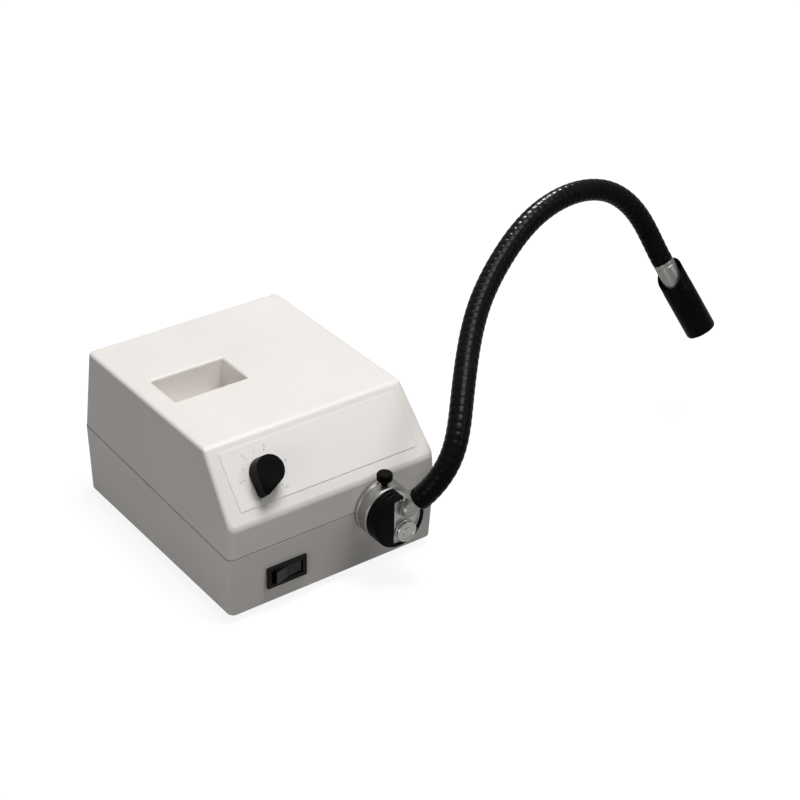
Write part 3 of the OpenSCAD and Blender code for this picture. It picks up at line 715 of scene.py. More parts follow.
@dataclass
class LampHouse:
    """The two plastic shells. Sizes are in millimetres."""

    half_x: float = 89.0
    half_y: float = 102.0
    bottom: float = 6.0
    seam: float = 54.5
    top: float = 123.5
    seam_rise: float = 7.4
    slope_top_y: float = -62.7
    slope_low: float = 78.2
    wall: float = 2.5
    corner: float = 5.0
    edge: float = 2.8
    cover_taper: tuple[float, float] = (0.084, 0.034)
    base_taper: tuple[float, float] = (0.032, 0.037)
    back_draw: float = 0.9
    seam_gap: tuple[float, float] = (-0.4, 0.45)
    pocket: Box = (-66.3, -6.3, 1.55, 36.55)
    pocket_floor: float = 94.5
    pocket_draft: float = 0.086
    pocket_lip: float = 2.0
    inner_y: float = -82.0
    port_hole: float = 17.2
    port_clearance: float = 23.4
    vents: int = 9
    vent_pitch: float = 6.0

    def seam_normal(self) -> Vector:
        """Upward normal of the seam plane, which climbs towards the back."""
        tilt = math.atan2(self.seam_rise, 2 * self.half_y)
        return Vector((0, -math.sin(tilt), math.cos(tilt)))

    def seam_point(self, lift: float) -> Vector:
        """Point at the front, above or below the seam."""
        return Vector((0, -self.half_y, self.seam + lift))

    def slope_normal(self) -> Vector:
        """Outward normal of the sloping panel."""
        front = -self.half_y + self.cover_taper[1] * (self.slope_low - self.seam)
        angle = math.atan2(self.top - self.slope_low, self.slope_top_y - front)
        return Vector((0, -math.sin(angle), math.cos(angle)))

    def cover_block(self, inset: float) -> bmesh.types.BMesh:
        """The cover's sharp outside, which reaches below the seam.

        Args:
            inset: How far it is shrunk.

        Returns:
            The mesh.
        """
        drop, rise = 8.0, self.top - self.seam
        tx, ty = self.cover_taper
        x0, y0 = self.half_x + tx * drop - inset, self.half_y + ty * drop - inset
        x1, y1 = self.half_x - tx * rise - inset, self.half_y - ty * rise - inset
        bm = tapered((-x0, x0, -y0, y0), self.seam - drop, (-x1, x1, -y1, y1), self.top - inset)
        normal = self.slope_normal()
        cut(bm, Vector((0, self.slope_top_y, self.top)) - normal * inset, normal)
        return bm

    def base_block(self, inset: float) -> bmesh.types.BMesh:
        """The base's sharp outside, which reaches above the seam.

        Args:
            inset: How far it is shrunk.

        Returns:
            The mesh.
        """
        tx, ty = self.base_taper
        fall, rise = self.seam - self.bottom, 12.0
        x0, y0 = self.half_x - tx * fall - inset, self.half_y - ty * fall - inset
        x1, y1 = self.half_x + tx * rise - inset, self.half_y + ty * rise - inset
        bm = tapered((-x0, x0, -y0, y0), self.bottom + inset, (-x1, x1, -y1, y1), self.seam + rise)
        for v in bm.verts:
            if v.co.z > self.seam * MM and v.co.y > 0:
                v.co.x *= 1 - self.back_draw / x1
        return bm

    def rear_opening(self) -> bmesh.types.BMesh:
        """Cutter for the opening of the rear panel."""
        return block((-75, 85, 14), (75, 125, 113.5))

    def port_rod(self, radius: float, length: float) -> bmesh.types.BMesh:
        """A rod that runs forward on the port's axis, from inside the housing."""
        return moved(rod(radius, 0, length), shift(PORT_X, self.inner_y, self.seam) @ FORWARD)

    def round_corners(self, bm: bmesh.types.BMesh) -> None:
        """Round the four upright corners."""
        bevel(bm, [e for e in edges_along(bm, 2, 0.95) if e.calc_length() > 5 * MM], self.corner, 8)

    def pocket_well(self) -> bmesh.types.BMesh:
        """Cutter for the hand pocket, whose back wall leans back a little."""
        x0, x1, y0, y1 = self.pocket
        above = 6
        foot = y1 - self.pocket_draft * (self.top - self.pocket_floor)
        head = y1 + self.pocket_draft * above
        well = tapered((x0, x1, y0, foot), self.pocket_floor, (x0, x1, y0, head), self.top + above)
        bevel(well, edges_along(well, 2), 0.8, 4)
        bevel(well, sharp_edges(well, 60, high=self.pocket_floor + 1), 2.0, 4)
        return well

    def build_cover(self) -> None:
        """The upper shell, with its sloping panel and hand pocket."""
        outer = self.cover_block(0)
        self.round_corners(outer)
        bottom = min(v.co.z for v in outer.verts) / MM
        bevel(outer, sharp_edges(outer, 25, low=bottom + 10), self.edge, 6)
        cut(outer, self.seam_point(self.seam_gap[1]), -self.seam_normal())
        bevel(outer, sharp_edges(outer, 60, high=self.seam + 9), 0.45, 2)

        x0, x1, y0, y1 = self.pocket
        tub = block((x0 - 2, y0 - 2, self.pocket_floor - 2), (x1 + 2, y1 + 2, self.top + 9))
        inner = carve(self.cover_block(self.wall), [tub])
        knob_hole = moved(rod(4.2, -10, 10), slope_frame(KNOB_X, KNOB_DOWN))
        openings = [self.rear_opening(), self.port_rod(self.port_hole, 30)]
        shell = carve(outer, [inner, self.pocket_well(), *openings, knob_hole])
        lip = [
            e for e in sharp_edges(shell, 60, self.top - 0.01, self.top + 0.01)
            if all(
                (x0 - 1) * MM < v.co.x < (x1 + 1) * MM and (y0 - 1) * MM < v.co.y < (y1 + 1) * MM
                for v in e.verts
            )
        ]
        bevel(shell, lip, self.pocket_lip, 6, clamp=False)
        piece(shell, "cover_skin", "top_cover", Look.SHELL, flat_faces=True)

    def build_base(self) -> None:
        """The lower shell, with its vents and the holes for the switch and the screws."""
        outer = self.base_block(0)
        self.round_corners(outer)
        bevel(outer, sharp_edges(outer, 60, high=self.bottom + 0.5), 1.0, 4)
        normal = self.seam_normal()
        cut(outer, self.seam_point(self.seam_gap[0]), normal)
        bevel(outer, sharp_edges(outer, 60, low=self.seam - 2), 0.2, 2)
        switch = block((-56.7, -107, 21.5), (-27.5, -92, 34.9))
        along = [self.vent_pitch * k for k in range(self.vents)]
        vents = [block((20 + x, -35, 4), (23 + x, 25, 10)) for x in along]
        screw_holes = [moved(rod(3.4, 4, 10), place) for place in mirrored(*COVER_SCREWS)]
        cavities = [self.base_block(self.wall), self.rear_opening(), self.port_rod(self.port_hole, 30)]
        shell = carve(outer, [*cavities, switch, *vents, *screw_holes])
        lips = []
        for form, top in ((self.cover_block(self.wall + 0.4), 2.4), (self.base_block(self.wall - 0.1), -0.6)):
            cut(form, self.seam_point(top), normal)
            cut(form, self.seam_point(-6), -normal)
            room = [self.cover_block(self.wall + 1.6), self.rear_opening(), self.port_rod(self.port_clearance, 40)]
            lips.append(carve(form, room))
        posts = [
            moved(lathe([(1.8, 10.2), (4.6, 10.2), (4.6, 36.2), (1.8, 36.2)], 32, 0), place)
            for place in mirrored(*COVER_SCREWS)
        ]
        piece(joined([shell, *lips, *posts]), "base_skin", "base_shell", Look.SHELL, flat_faces=True)

    def build_feet(self) -> None:
        """Four turned rubber feet with a moulded groove."""
        profile = [
            (2.2, 6), (2.2, 3), (4, 3), (4, 0), (7.2, 0), (8.5, 1.3), (8.7, 3.2), (8.3, 3.5), (8.3, 3.9),
            (8.8, 4.2), (9, 6),
        ]
        feet = [moved(lathe(profile, 64, 0.2), place) for place in mirrored(65, 81)]
        piece(joined(feet), "feet_turned", "rubber_feet", Look.RUBBER, flat_faces=True)

    def build(self) -> None:
        """Both shells and the feet."""
        self.build_cover()
        self.build_base()
        self.build_feet()


def slope_frame(x: float, down: float) -> Matrix:
    """Place on the sloping panel, with x across, y up the slope and z out of it.

    Args:
        x: Place across the panel, in millimetres.
        down: Distance down the slope from its upper edge, in millimetres.

    Returns:
        The frame, in metres.
    """
    house = LampHouse()
    normal = house.slope_normal()
    up = Vector((0, normal.z, -normal.y))
    point = Vector((x, house.slope_top_y, house.top)) - up * down
    turn = Matrix((Vector((1, 0, 0)), up, normal)).transposed().to_4x4()
    return Matrix.Translation(point * MM) @ turn


# ---------------------------------------------------------------- controls


@dataclass
class Controls:
    """The sloping panel's overlay, dial and knob, and the switch. Sizes are in millimetres."""

    knob_r: float = 11.2
    reach: float = 18.2
    tip_r: float = 3.2
    height: float = 11.5
    dish_r: float = 70.0
    pointer: float = 30.0
    sweep: float = 290.0
    ticks: int = 10

    def build_knob(self) -> None:
        """A teardrop knob with a slight draft, a rounded top and a dished face."""
        bm = bmesh.new()
        round_part = (self.knob_r, 0.0, self.height)
        tip = (self.tip_r, self.reach - self.tip_r, self.height - 2)
        for radius, far, depth in (round_part, tip):
            made = bmesh.ops.create_cone(
                bm, cap_ends=True, segments=64, radius1=radius * MM, radius2=(radius - 0.5) * MM, depth=depth * MM
            )
            bmesh.ops.translate(bm, verts=made["verts"], vec=(far * MM, 0, depth / 2 * MM))
        hull = bmesh.ops.convex_hull(bm, input=bm.verts[:])
        spare = [g for g in hull["geom_interior"] + hull["geom_unused"] if isinstance(g, bmesh.types.BMVert)]
        bmesh.ops.delete(bm, geom=list(set(spare)), context="VERTS")
        bmesh.ops.dissolve_limit(bm, angle_limit=math.radians(0.8), verts=bm.verts[:], edges=bm.edges[:])
        bevel(bm, sharp_edges(bm, 40), 0.9, 4)
        dish = bmesh.new()
        bmesh.ops.create_uvsphere(dish, u_segments=96, v_segments=48, radius=self.dish_r * MM)
        bmesh.ops.translate(dish, verts=dish.verts[:], vec=(0, 0, (self.height - 0.45 + self.dish_r) * MM))
        shaped = carve(bm, [dish, rod(3.02, -1, 9.4, 48)])
        place = slope_frame(KNOB_X, KNOB_DOWN) @ Matrix.Translation((0, 0, 1.2 * MM))
        turn = Matrix.Rotation(math.radians(-90 - self.pointer), 4, "Z")
        piece(
            moved(shaped, place @ turn), "knob_body", "control_knob", Look.KNOB, crease=30.0, flat_faces=True
        )

    def build_dial(self) -> None:
        """Printed ticks and numbers round the knob."""
        parts = []
        base = slope_frame(KNOB_X, KNOB_DOWN) @ Matrix.Translation((0, 0, 0.43 * MM))
        for k in range(self.ticks + 1):
            angle = math.radians(-90 - self.pointer - self.sweep * k / self.ticks)
            long = k % 2 == 0
            tick = block((14.8, -0.2, 0), (17.2 if long else 16.2, 0.2, 0.04))
            parts.append(moved(tick, base @ Matrix.Rotation(angle, 4, "Z")))
            if long:
                parts.append(self.numeral(str(k), base, angle))
        piece(joined(parts), "dial_marks", "panel_overlay", Look.PRINT, replaces=())

    def numeral(self, text: str, base: Matrix, angle: float) -> bmesh.types.BMesh:
        """One upright number beside its tick.

        Args:
            text: The number.
            base: The dial's place.
            angle: Direction of the tick, in radians.

        Returns:
            Its mesh, in place.
        """
        curve = bpy.data.curves.new("numeral", "FONT")
        curve.body, curve.size, curve.align_x, curve.align_y = text, 3.1 * MM, "CENTER", "CENTER"
        curve.extrude = 0.02 * MM
        at = Vector((math.cos(angle), math.sin(angle), 0)) * 19.3 * MM + Vector((0, 0, 0.02 * MM))
        return moved(from_curve(curve), base @ Matrix.Translation(at))

    def build(self) -> None:
        """Everything on the panel and the switch."""
        refined("panel_overlay", Look.FILM, 0.15)
        self.build_dial()
        self.build_knob()
        refined("pot_shaft", Look.BRASS)
        refined("pot_body", Look.STEEL)
        refined("pot_nut", Look.STEEL)
        refined("rocker_frame", Look.BLACK_PLASTIC, 0.45, 3)
        refined("power_rocker", Look.ROCKER, 0.5, 3, 25.0)
        refined("switch_terminals", Look.BRASS, 0.12)


# ---------------------------------------------------------------- light port


@dataclass
class LightPort:
    """The port collar, the adapter in it and the start of the light guide. Sizes are in millimetres."""

    outer: float = 20.9
    cap_back: float = 116.5
    cap_length: float = 12.6
    screw_y: float = -109.2
    screw_r: float = 5.8

    def place(self, forward: float) -> Matrix:
        """Frame on the port's axis, with z forward, at a distance in front of the origin."""
        return shift(PORT_X, -forward, PORT_Z) @ FORWARD

    def build_collar(self) -> None:
        """The silver collar with a groove, and the screw's hole through its top."""
        r = self.outer
        bm = lathe(
            [(12.6, 116.2), (19.6, 116.2), (r, 115.0), (r, 106.4), (r - 0.5, 106.1), (r - 0.5, 105.3),
             (r, 105.0), (r, 102.1), (17, 102.1), (17, 84), (10, 84), (10, 90), (12.6, 90)], 128, 0.25
        )
        hole = moved(rod(2.6, 5, 30, 32), shift(PORT_X, self.screw_y, PORT_Z))
        piece(carve(moved(bm, self.place(0)), [hole]), "collar_turned", "port_collar", Look.SILVER)

    def build_cap(self) -> None:
        """The black cap with two grooves, whose face leaves a D-shaped window open."""
        r, l = self.outer, self.cap_length
        rim = [(0, l - 1.3), (19.3, l - 1.3), (19.3, 0), (r, 0)]
        for z in (2.8, 7.2):
            rim += [(r, z), (r - 0.2, z + 0.3), (r - 0.2, z + 0.7), (r, z + 1.0)]
        rim += [(r, l - 0.6), (r - 0.6, l), (0, l)]
        window = rod(18.9, l - 4, l + 4, 96)
        bmesh.ops.bisect_plane(
            window, geom=window.verts[:] + window.edges[:] + window.faces[:],
            plane_co=(-5.5 * MM, 0, 0), plane_no=(-1, 0, 0), clear_outer=True,
        )
        bmesh.ops.holes_fill(window, edges=[e for e in window.edges if e.is_boundary], sides=0)
        bmesh.ops.recalc_face_normals(window, faces=window.faces[:])
        corner = block((2, 3.5, -2), (30, 30, l + 2))
        shaped = carve(lathe(rim, 128, 0.12), [window, corner])
        piece(moved(shaped, self.place(self.cap_back)), "cap_turned", "adapter_cap", Look.ANODISED)

    def build_body(self) -> None:
        """The silver adapter body with a turned face, and the round plug beside the guide."""
        face = FACE_Y
        bm = lathe(
            [(0, 91), (11.6, 91), (12.55, 92), (12.55, 116.5), (19.25, 116.5), (19.25, face), (17.6, face),
             (17.4, face - 0.3), (17.0, face - 0.3), (16.8, face), (0, face)], 128, 0.1
        )
        piece(moved(bm, self.place(0)), "adapter_turned", "adapter_body", Look.ALUMINIUM)
        plug = lathe(
            [(0, 0), (8.5, 0), (8.5, 1.2), (7.8, 1.6), (7.8, 2.3), (8.2, 2.7), (8.2, 3.4), (7.8, 4.0), (6.2, 4.0),
             (6.0, 3.4), (3.7, 3.4), (3.5, 4.2), (1.8, 4.5), (0, 4.5)], 80, 0.12
        )
        at = shift(PORT_X + 4.6, -face, PORT_Z - 9.1) @ FORWARD
        piece(moved(plug, at), "plug_turned", "port_plug", Look.STEEL)

    def build_screw(self) -> None:
        """The clamp screw, with a knurled head."""
        r, teeth = self.screw_r, 72
        bm = lathe(
            [(0, 13.1), (2.0, 13.1), (2.5, 13.7), (2.5, 22.8), (3.2, 23.6), (5.2, 24.8), (r, 25.6),
             (r, 29.6), (5.2, 30.4), (2.2, 30.6), (0, 30.3)], teeth, 0
        )
        for v in bm.verts:
            if math.hypot(v.co.x, v.co.y) > (r - 0.3) * MM:
                step = round(math.atan2(v.co.y, v.co.x) / (2 * math.pi) * teeth)
                factor = 1.0 if step % 3 else 0.93
                v.co.x, v.co.y = v.co.x * factor, v.co.y * factor
        at = shift(PORT_X, self.screw_y, PORT_Z)
        piece(moved(bm, at), "clamp_screw_turned", "thumbscrew", Look.ANODISED, crease=25.0)

    def build(self) -> None:
        """The whole port."""
        self.build_collar()
        refined("collar_nut", Look.STEEL)
        self.build_cap()
        self.build_body()
        self.build_screw()
        refined("guide_ferrule", Look.SILVER, 0.3, 3)


# ---------------------------------------------------------------- gooseneck


@dataclass
class Gooseneck:
    """The ribbed metal hose on its curved route. Sizes are in millimetres."""

    route_points: tuple[tuple[float, float, float], ...] = (
        (39, -107, 46), (43, -141, 74), (68, -149, 105), (93, -122, 130), (120, -93, 149),
        (150, -66, 167), (186, -47, 186), (224, -34, 204), (267, -28, 212), (310, -29, 205),
        (340, -36, 175), (353, -48, 135), (367, -75, 104),
    )
    rib: tuple[tuple[float, float], ...] = (
        (0.0, 1.0), (0.1, 0.85), (0.18, 0.4), (0.28, 0.08), (0.5, 0.0), (0.72, 0.08), (0.82, 0.4), (0.9, 0.85),
    )
    crest: float = 8.48
    groove: float = 0.22
    bore: float = 7.0
    ribs_per_span: int = 7
    bend_reach: float = 0.9

    def at(self, u: float) -> tuple[Vector, Vector]:
        """Point and direction of the route.

        Args:
            u: Position, in spans from the start.

        Returns:
            The point in metres and the unit direction.
        """
        i = min(int(max(u, 0)), len(self.route_points) - 4)
        t = u - i
        p = [Vector(q) * MM for q in self.route_points[i:i + 4]]
        w = ((1 - t) ** 3, 3 * t ** 3 - 6 * t ** 2 + 4, -3 * t ** 3 + 3 * t ** 2 + 3 * t + 1, t ** 3)
        d = (-(1 - t) ** 2, 3 * t ** 2 - 4 * t, -3 * t ** 2 + 2 * t + 1, t ** 2)
        point = sum((q * f for q, f in zip(p, w)), Vector()) / 6
        slope = sum((q * f for q, f in zip(p, d)), Vector())
        return point, slope.normalized()

    def hose(self, start: float, end: float, plain_start: bool, plain_end: bool) -> bmesh.types.BMesh:
        """One stretch of ribbed hose, bent onto the route.

        Args:
            start: First position on the route.
            end: Last position on the route.
            plain_start: Whether it starts with a smooth cuff.
            plain_end: Whether it ends with a smooth cuff.

        Returns:
            The mesh.
        """
        pitch = 1.0 / self.ribs_per_span
        ribs = round((end - start) / pitch)
        profile = []
        for k in range(ribs):
            cuff = (plain_start and k == 0) or (plain_end and k == ribs - 1)
            for t, depth in self.rib:
                fall = 0.0 if cuff and 0.15 < t < 0.85 else depth
                profile.append((self.crest - self.groove * fall, start + (k + t) * pitch))
        profile += [(self.crest - self.groove, end), (self.bore, end)]
        profile += [(self.bore, start + (end - start) * k / 40) for k in range(39, -1, -1)]
        bm = spun([(r * MM, u) for r, u in profile], True, 40)
        for v in bm.verts:
            point, way = self.at(v.co.z)
            side = way.cross(Vector((0, 1, 0))).normalized()
            other = way.cross(side)
            v.co = point + side * v.co.x + other * v.co.y
        bmesh.ops.recalc_face_normals(bm, faces=bm.faces[:])
        return bm

    def build_stretch(
        self, index: int, start: float, end: float, nodes: Sequence[str]
    ) -> None:
        """One stretch of hose laid over one joint of the frame.

        Args:
            index: Its number.
            start: First position on the route.
            end: Last position on the route.
            nodes: The CAD nodes that it stands for.
        """
        bm = self.hose(start, end, index == 1, index == 4)
        thing = piece(
            bm, f"hose_stretch_{index}", nodes[0], Look.HOSE, replaces=nodes, crease=60.0, rides=False
        )
        self.lit.objects.link(thing)
        joint = 2.0 * index
        near, far = self.at(joint - self.bend_reach)[0], self.at(joint + self.bend_reach)[0]
        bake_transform(thing)

    def build(self) -> None:
        """The hose and what is inside it, with a lamp for the hose alone that puts a sheen on its arch."""
        self.lit = bpy.data.collections.new("hose_lit")
        self.build_stretch(1, 0.0, 3.0, ("neck_1", "neck_2"))
        self.build_stretch(2, 3.0, 5.0, ("neck_3",))
        self.build_stretch(3, 5.0, 7.0, ("neck_4",))
        self.build_stretch(4, 7.0, 10.0, ("neck_5",))
        sheen = Studio().lamp("sheen_box", Vector((0.80, 0.92, 1.36)), self.at(6.3)[0], (0.3, 0.3), 48.0)
        sheen.light_linking.receiver_collection = self.lit
        for k in range(1, 5):
            refined(f"neck_ball_{k}", Look.ALUMINIUM, 0.2)
        for k in range(1, 6):
            refined(f"fibres_{k}", Look.FIBRE, 0.1, 1, 60.0)


@dataclass
class LensEnd:
    """The ferrule and the focusing lens at the end of the gooseneck. Sizes are in millimetres."""

    mouth: float = 12.0
    tilt: float = 36.0
    turn: float = 100.0

    def place(self) -> Matrix:
        """Frame at the end of the gooseneck, with z along it."""
        point, way = Gooseneck().at(10.0)
        polar = math.acos(way.z)
        azimuth = math.atan2(way.y, way.x)
        return Matrix.Translation(point) @ Matrix.Rotation(azimuth, 4, "Z") @ Matrix.Rotation(polar, 4, "Y")

    def build(self) -> None:
        """Ferrule, barrel, guide ring, lens and retaining ring."""
        at = self.place()
        ferrule = lathe(
            [(4.3, -5.5), (5.5, -5.5), (5.5, 0), (8.4, 0), (8.4, 3.0), (8.15, 3.2), (8.15, 3.8), (8.4, 4.0),
             (8.4, 41.4), (7.8, 42), (4.3, 42)], 96, 0.15
        )
        piece(moved(ferrule, at), "ferrule_turned", "end_ferrule", Look.SILVER)
        barrel = lathe(
            [(11.2, 2), (12.1, 2), (12.1, 24), (12.3, 24.2), (12.3, 64.9), (11.6, 66.5), (10.6, 66.5),
             (10.6, 63), (11.2, 63)], 128, 0.12
        )
        oblique = moved(
            block((-40, -40, -60), (40, 40, 0)),
            Matrix.Rotation(math.radians(self.turn), 4, "Z")
            @ Matrix.Translation((0, 0, self.mouth * MM))
            @ Matrix.Rotation(math.radians(self.tilt), 4, "Y"),
        )
        shaped = carve(barrel, [oblique])
        bevel(shaped, sharp_edges(shaped, 45, high=22), 0.2, 2)
        piece(moved(shaped, at), "barrel_turned", "lens_barrel", Look.ANODISED)
        refined("barrel_guide", Look.BLACK_PLASTIC, 0.2)
        lens = lathe(
            [(0, 56), (10.9, 56), (11.18, 56.3), (11.18, 58.7), (10.2, 59.43), (8.8, 60.24), (7.0, 61.06),
             (5.0, 61.73), (2.6, 62.22), (0, 62.4)], 96, 0
        )
        piece(moved(lens, at), "lens_glass", "condenser_lens", Look.GLASS, crease=50.0)
        ring = lathe([(9.2, 63.1), (10.55, 63.1), (10.55, 66.7), (10.2, 66.7), (9.2, 65.5)], 96, 0.12)
        notches = [
            moved(block((8, -0.5, 65.7), (12, 0.5, 68.5)), Matrix.Rotation(a, 4, "Z")) for a in (0.0, math.pi)
        ]
        piece(moved(carve(ring, notches), at), "ring_turned", "lens_ring", Look.DARK)


# ---------------------------------------------------------------- rear and inside


@dataclass
class Rear:
    """The rear panel with its fan and inlet. Sizes are in millimetres."""

    fan_x: float = 33.0
    fan_z: float = 62.0
    grille_y: float = 97.0
    rotor_y: float = 70.5
    rings: tuple[float, ...] = (12.7, 20.7, 28.7, 36.7)
    eye_at: float = 35.75
    blades: int = 7

    def wire(self, points: Sequence[Vector], radius: float, closed: bool) -> bmesh.types.BMesh:
        """A round wire.

        Args:
            points: Its route, in millimetres.
            radius: Its radius, in millimetres.
            closed: Whether it closes on itself.

        Returns:
            The mesh.
        """
        curve = bpy.data.curves.new("wire", "CURVE")
        curve.dimensions, curve.bevel_depth, curve.bevel_resolution = "3D", radius * MM, 3
        curve.use_fill_caps = True
        spline = curve.splines.new("POLY")
        spline.points.add(len(points) - 1)
        for slot, point in zip(spline.points, points):
            slot.co = (*(point * MM), 1.0)
        spline.use_cyclic_u = closed
        bm = from_curve(curve)
        bmesh.ops.remove_doubles(bm, verts=bm.verts[:], dist=1e-6)
        return bm

    def build_grille(self) -> None:
        """Wire rings and spokes, with eyes at the four screws."""
        c = Vector((self.fan_x, self.grille_y, self.fan_z))
        parts = []
        for r in self.rings:
            angles = [2 * math.pi * k / 64 for k in range(64)]
            ring = [c + Vector((r * math.cos(a), 1.5, r * math.sin(a))) for a in angles]
            parts.append(self.wire(ring, 0.7, True))
        lift = Vector((0, 0.75, 0))
        for k in range(4):
            a = math.pi / 4 * k
            way = Vector((math.cos(a), 0, math.sin(a))) * (37.0 if k % 2 == 0 else 47.4)
            parts.append(self.wire([c - way + lift, c + way + lift], 0.6, False))
        for sx in (-1, 1):
            for sz in (-1, 1):
                eye = lathe([(2.2, 0), (4.2, 0), (4.2, 2.6), (2.2, 2.6)], 40, 0.3)
                at = c + Vector((sx * self.eye_at, 0, sz * self.eye_at))
                parts.append(moved(eye, shift(*at) @ BACKWARD))
        piece(joined(parts), "grille_wires", "fan_grille", Look.STEEL)

    def build_rotor(self) -> None:
        """A hub with curved, pitched blades."""
        hub = lathe([(0, 4), (15.8, 4), (17, 5.2), (17, 20.6), (15.4, 22), (0, 22)], 72, 0.3)
        parts = [hub, rod(1.5, 0, 8, 24)]
        tip_r, half_chord = 36, 11
        tilt = Matrix.Translation((0, 0, 13 * MM)) @ Matrix.Rotation(math.radians(38), 4, "X")
        for k in range(self.blades):
            blade = block((16, -half_chord, -0.8), (tip_r, half_chord, 0.8))
            bmesh.ops.subdivide_edges(blade, edges=edges_along(blade, 1), cuts=9, use_grid_fill=True)
            bmesh.ops.subdivide_edges(blade, edges=edges_along(blade, 0), cuts=4, use_grid_fill=True)
            for v in blade.verts:
                v.co.z += 1.6 * MM * (1 - (v.co.y / (half_chord * MM)) ** 2) - 0.8 * MM
                v.co.z *= 1.0 - 0.15 * (v.co.x / (tip_r * MM))
            bevel(blade, sharp_edges(blade, 60), 0.3, 2)
            parts.append(moved(blade, Matrix.Rotation(2 * math.pi * k / self.blades, 4, "Z") @ tilt))
        place = shift(self.fan_x, self.rotor_y, self.fan_z) @ BACKWARD
        piece(moved(joined(parts), place), "rotor_blades", "fan_rotor", Look.BLACK_PLASTIC, flat_faces=True)

    def build(self) -> None:
        """All of the rear."""
        self.build_grille()
        self.build_rotor()
        refined("rear_panel", Look.PANEL, 0.2)
        refined("panel_screws", Look.STEEL, 0.3, 3)
        refined("fan_frame", Look.BLACK_PLASTIC, 0.4)
        refined("fan_screws", Look.STEEL, 0.3, 3)
        refined("mains_inlet", Look.BLACK_PLASTIC, 0.5, 3)
        refined("inlet_pins", Look.STEEL, 0.3)
        refined("fuse_drawer", Look.BLACK_PLASTIC, 0.3)
        refined("fuse", Look.GLASS, 0.3)


class Inside:
    """Fasteners and everything inside the housing."""

    looks = {
        "foot_screws": Look.STEEL,
        "cover_screws": Look.STEEL,
        "lamp_bracket": Look.STEEL,
        "halogen_lamp": Look.LAMP_GLASS,
        "lamp_socket": Look.CERAMIC,
        "heat_filter": Look.LAMP_GLASS,
        "filter_ring": Look.ALUMINIUM,
        "transformer_core": Look.CORE,
        "transformer_coil": Look.COPPER,
        "control_board": Look.BOARD,
    }

    def build(self) -> None:
        """A cleaned copy of each inner node, in its finish."""
        for node, look in self.looks.items():
            refined(node, look)


# ---------------------------------------------------------------- studio


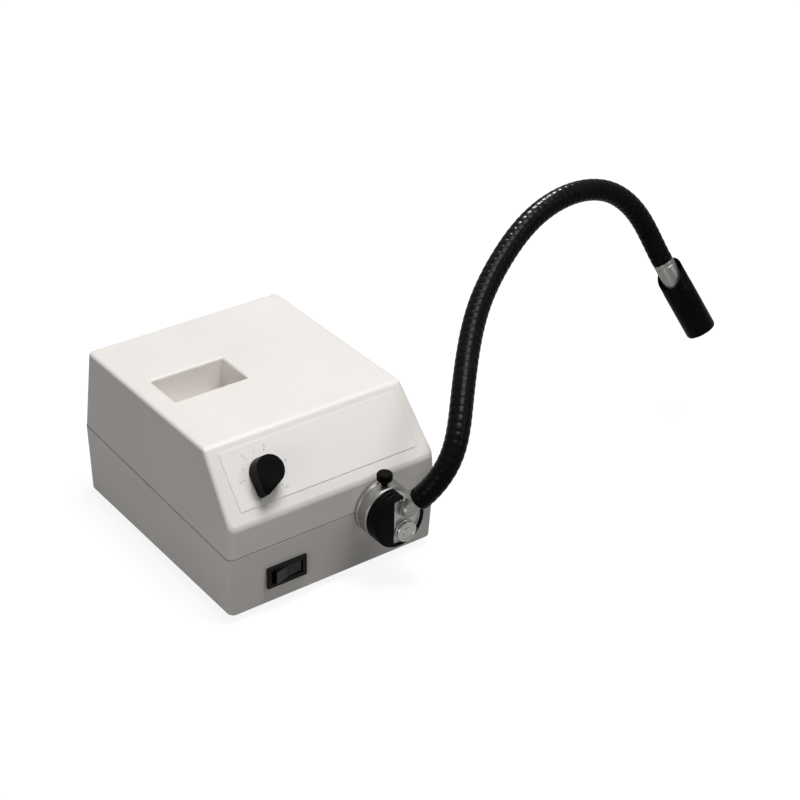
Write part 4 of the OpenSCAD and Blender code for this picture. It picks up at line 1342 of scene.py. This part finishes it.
@dataclass
class Studio:
    """Camera, floor, world and lamps. Sizes are in metres."""

    eye: tuple[float, float, float] = (-0.6332, -1.0003, 0.8185)
    right: tuple[float, float, float] = (0.8027, -0.5959, 0.0235)
    up: tuple[float, float, float] = (0.2921, 0.4272, 0.8557)
    lens: float = 85.23
    centre: tuple[float, float, float] = (0.12, -0.02, 0.08)
    floor_half: float = 6.0

    def build_camera(self) -> None:
        """The photograph's viewpoint."""
        data = bpy.data.cameras.new("studio_camera")
        data.lens, data.sensor_width, data.sensor_fit = self.lens, 36.0, "HORIZONTAL"
        data.clip_start, data.clip_end = 0.05, 30.0
        camera = bpy.data.objects.new("studio_camera", data)
        right, up = Vector(self.right), Vector(self.up)
        back = right.cross(up).normalized()
        turn = Matrix((right.normalized(), up.normalized(), back)).transposed().to_4x4()
        camera.matrix_world = Matrix.Translation(Vector(self.eye)) @ turn
        bpy.context.scene.collection.objects.link(camera)
        bpy.context.scene.camera = camera

    def build_floor(self) -> None:
        """A floor that reads white to the camera, whiter far away, and keeps a soft shadow."""
        bm = bmesh.new()
        bmesh.ops.create_grid(bm, x_segments=1, y_segments=1, size=self.floor_half)
        bmesh.ops.translate(bm, verts=bm.verts[:], vec=(0, 0, -0.0002))
        floor = to_object(bm, "studio_floor")
        g = Graph("studio_floor")
        g.surface(Base_Color=(0.16, 0.16, 0.16), Roughness=0.9)
        path = g.add("ShaderNodeLightPath", {})
        rays = {0: path.outputs["Is Camera Ray"], 1: path.outputs["Is Transmission Ray"]}
        direct = g.number("ShaderNodeMath", rays, operation="MAXIMUM")
        seen = (direct + Signal(g, path.outputs["Is Glossy Ray"]) * 0.35).over(0.0, 1.0)
        span = g.add("ShaderNodeVectorMath", {0: g.place}, operation="LENGTH").outputs["Value"]
        far = Signal(g, span).over(0.5, 2.2)
        tone = g.blend(far, (0.89, 0.89, 0.89), (1.0, 1.0, 1.0))
        plain = g.shader.outputs["BSDF"]
        glow = g.add("ShaderNodeEmission", {"Color": tone, "Strength": 1.0})
        both = g.add("ShaderNodeAddShader", {0: plain, 1: glow.outputs[0]})
        mix = g.add("ShaderNodeMixShader", {0: seen, 1: plain, 2: both.outputs[0]})
        g.feed(g.output.inputs["Surface"], mix.outputs[0])
        floor.data.materials.append(g.material)

    def build_world(self) -> None:
        """A weak even light, stronger in glossy reflections and white to the eye and through glass."""
        world = bpy.data.worlds.new("studio_world")
        bpy.context.scene.world = world
        world.use_nodes = True
        tree = world.node_tree
        tree.nodes.clear()
        out = tree.nodes.new("ShaderNodeOutputWorld")
        shades = []
        for colour, strength in (((1.0, 0.99, 0.97), 0.09), ((1.0, 1.0, 1.0), 1.0), ((1.0, 1.0, 1.0), 0.28)):
            shade = tree.nodes.new("ShaderNodeBackground")
            shade.inputs["Color"].default_value = (*colour, 1.0)
            shade.inputs["Strength"].default_value = strength
            shades.append(shade)
        under, white, pale = shades
        path = tree.nodes.new("ShaderNodeLightPath")
        for ray, over in (("Is Glossy Ray", pale), ("Is Transmission Ray", white), ("Is Camera Ray", white)):
            mix = tree.nodes.new("ShaderNodeMixShader")
            tree.links.new(path.outputs[ray], mix.inputs[0])
            tree.links.new(under.outputs[0], mix.inputs[1])
            tree.links.new(over.outputs[0], mix.inputs[2])
            under = mix
        tree.links.new(under.outputs[0], out.inputs[0])

    def lamp(
        self, name: str, at: Vector, aim: Vector, size: tuple[float, float], watts: float
    ) -> bpy.types.Object:
        """One rectangular softbox.

        Args:
            name: Its name.
            at: Its place.
            aim: The point that it faces.
            size: Its width and height.
            watts: Its power.

        Returns:
            The lamp.
        """
        data = bpy.data.lights.new(name, "AREA")
        data.shape, data.size, data.size_y, data.energy = "RECTANGLE", size[0], size[1], watts
        box = bpy.data.objects.new(name, data)
        box.matrix_world = Matrix.Translation(at) @ (at - aim).to_track_quat("Z", "Y").to_matrix().to_4x4()
        bpy.context.scene.collection.objects.link(box)
        return box

    def build(self) -> None:
        """Everything that isn't the object."""
        self.build_camera()
        self.build_floor()
        self.build_world()
        centre = Vector(self.centre)
        self.lamp("key_box", Vector((0.28, -0.17, 1.80)), centre, (0.8, 0.8), 29.0)
        self.lamp("front_box", Vector((0.90, -1.25, 1.30)), centre, (0.6, 0.6), 2.9)
        self.lamp("left_fill", Vector((-1.9, -0.7, 0.45)), centre, (1.2, 0.6), 6.3)
        bpy.context.scene.view_settings.view_transform = "Standard"


def main() -> None:
    """Build the studio and every sub-assembly in order."""
    steps: list[Callable[[], None]] = [
        Studio().build, LampHouse().build, Controls().build, LightPort().build, Gooseneck().build,
        LensEnd().build, Rear().build, Inside().build,
    ]
    for step in steps:
        LOG.info("building %s", getattr(step, "__qualname__", "step"))
        step()


if __name__ == "__main__":
    main()
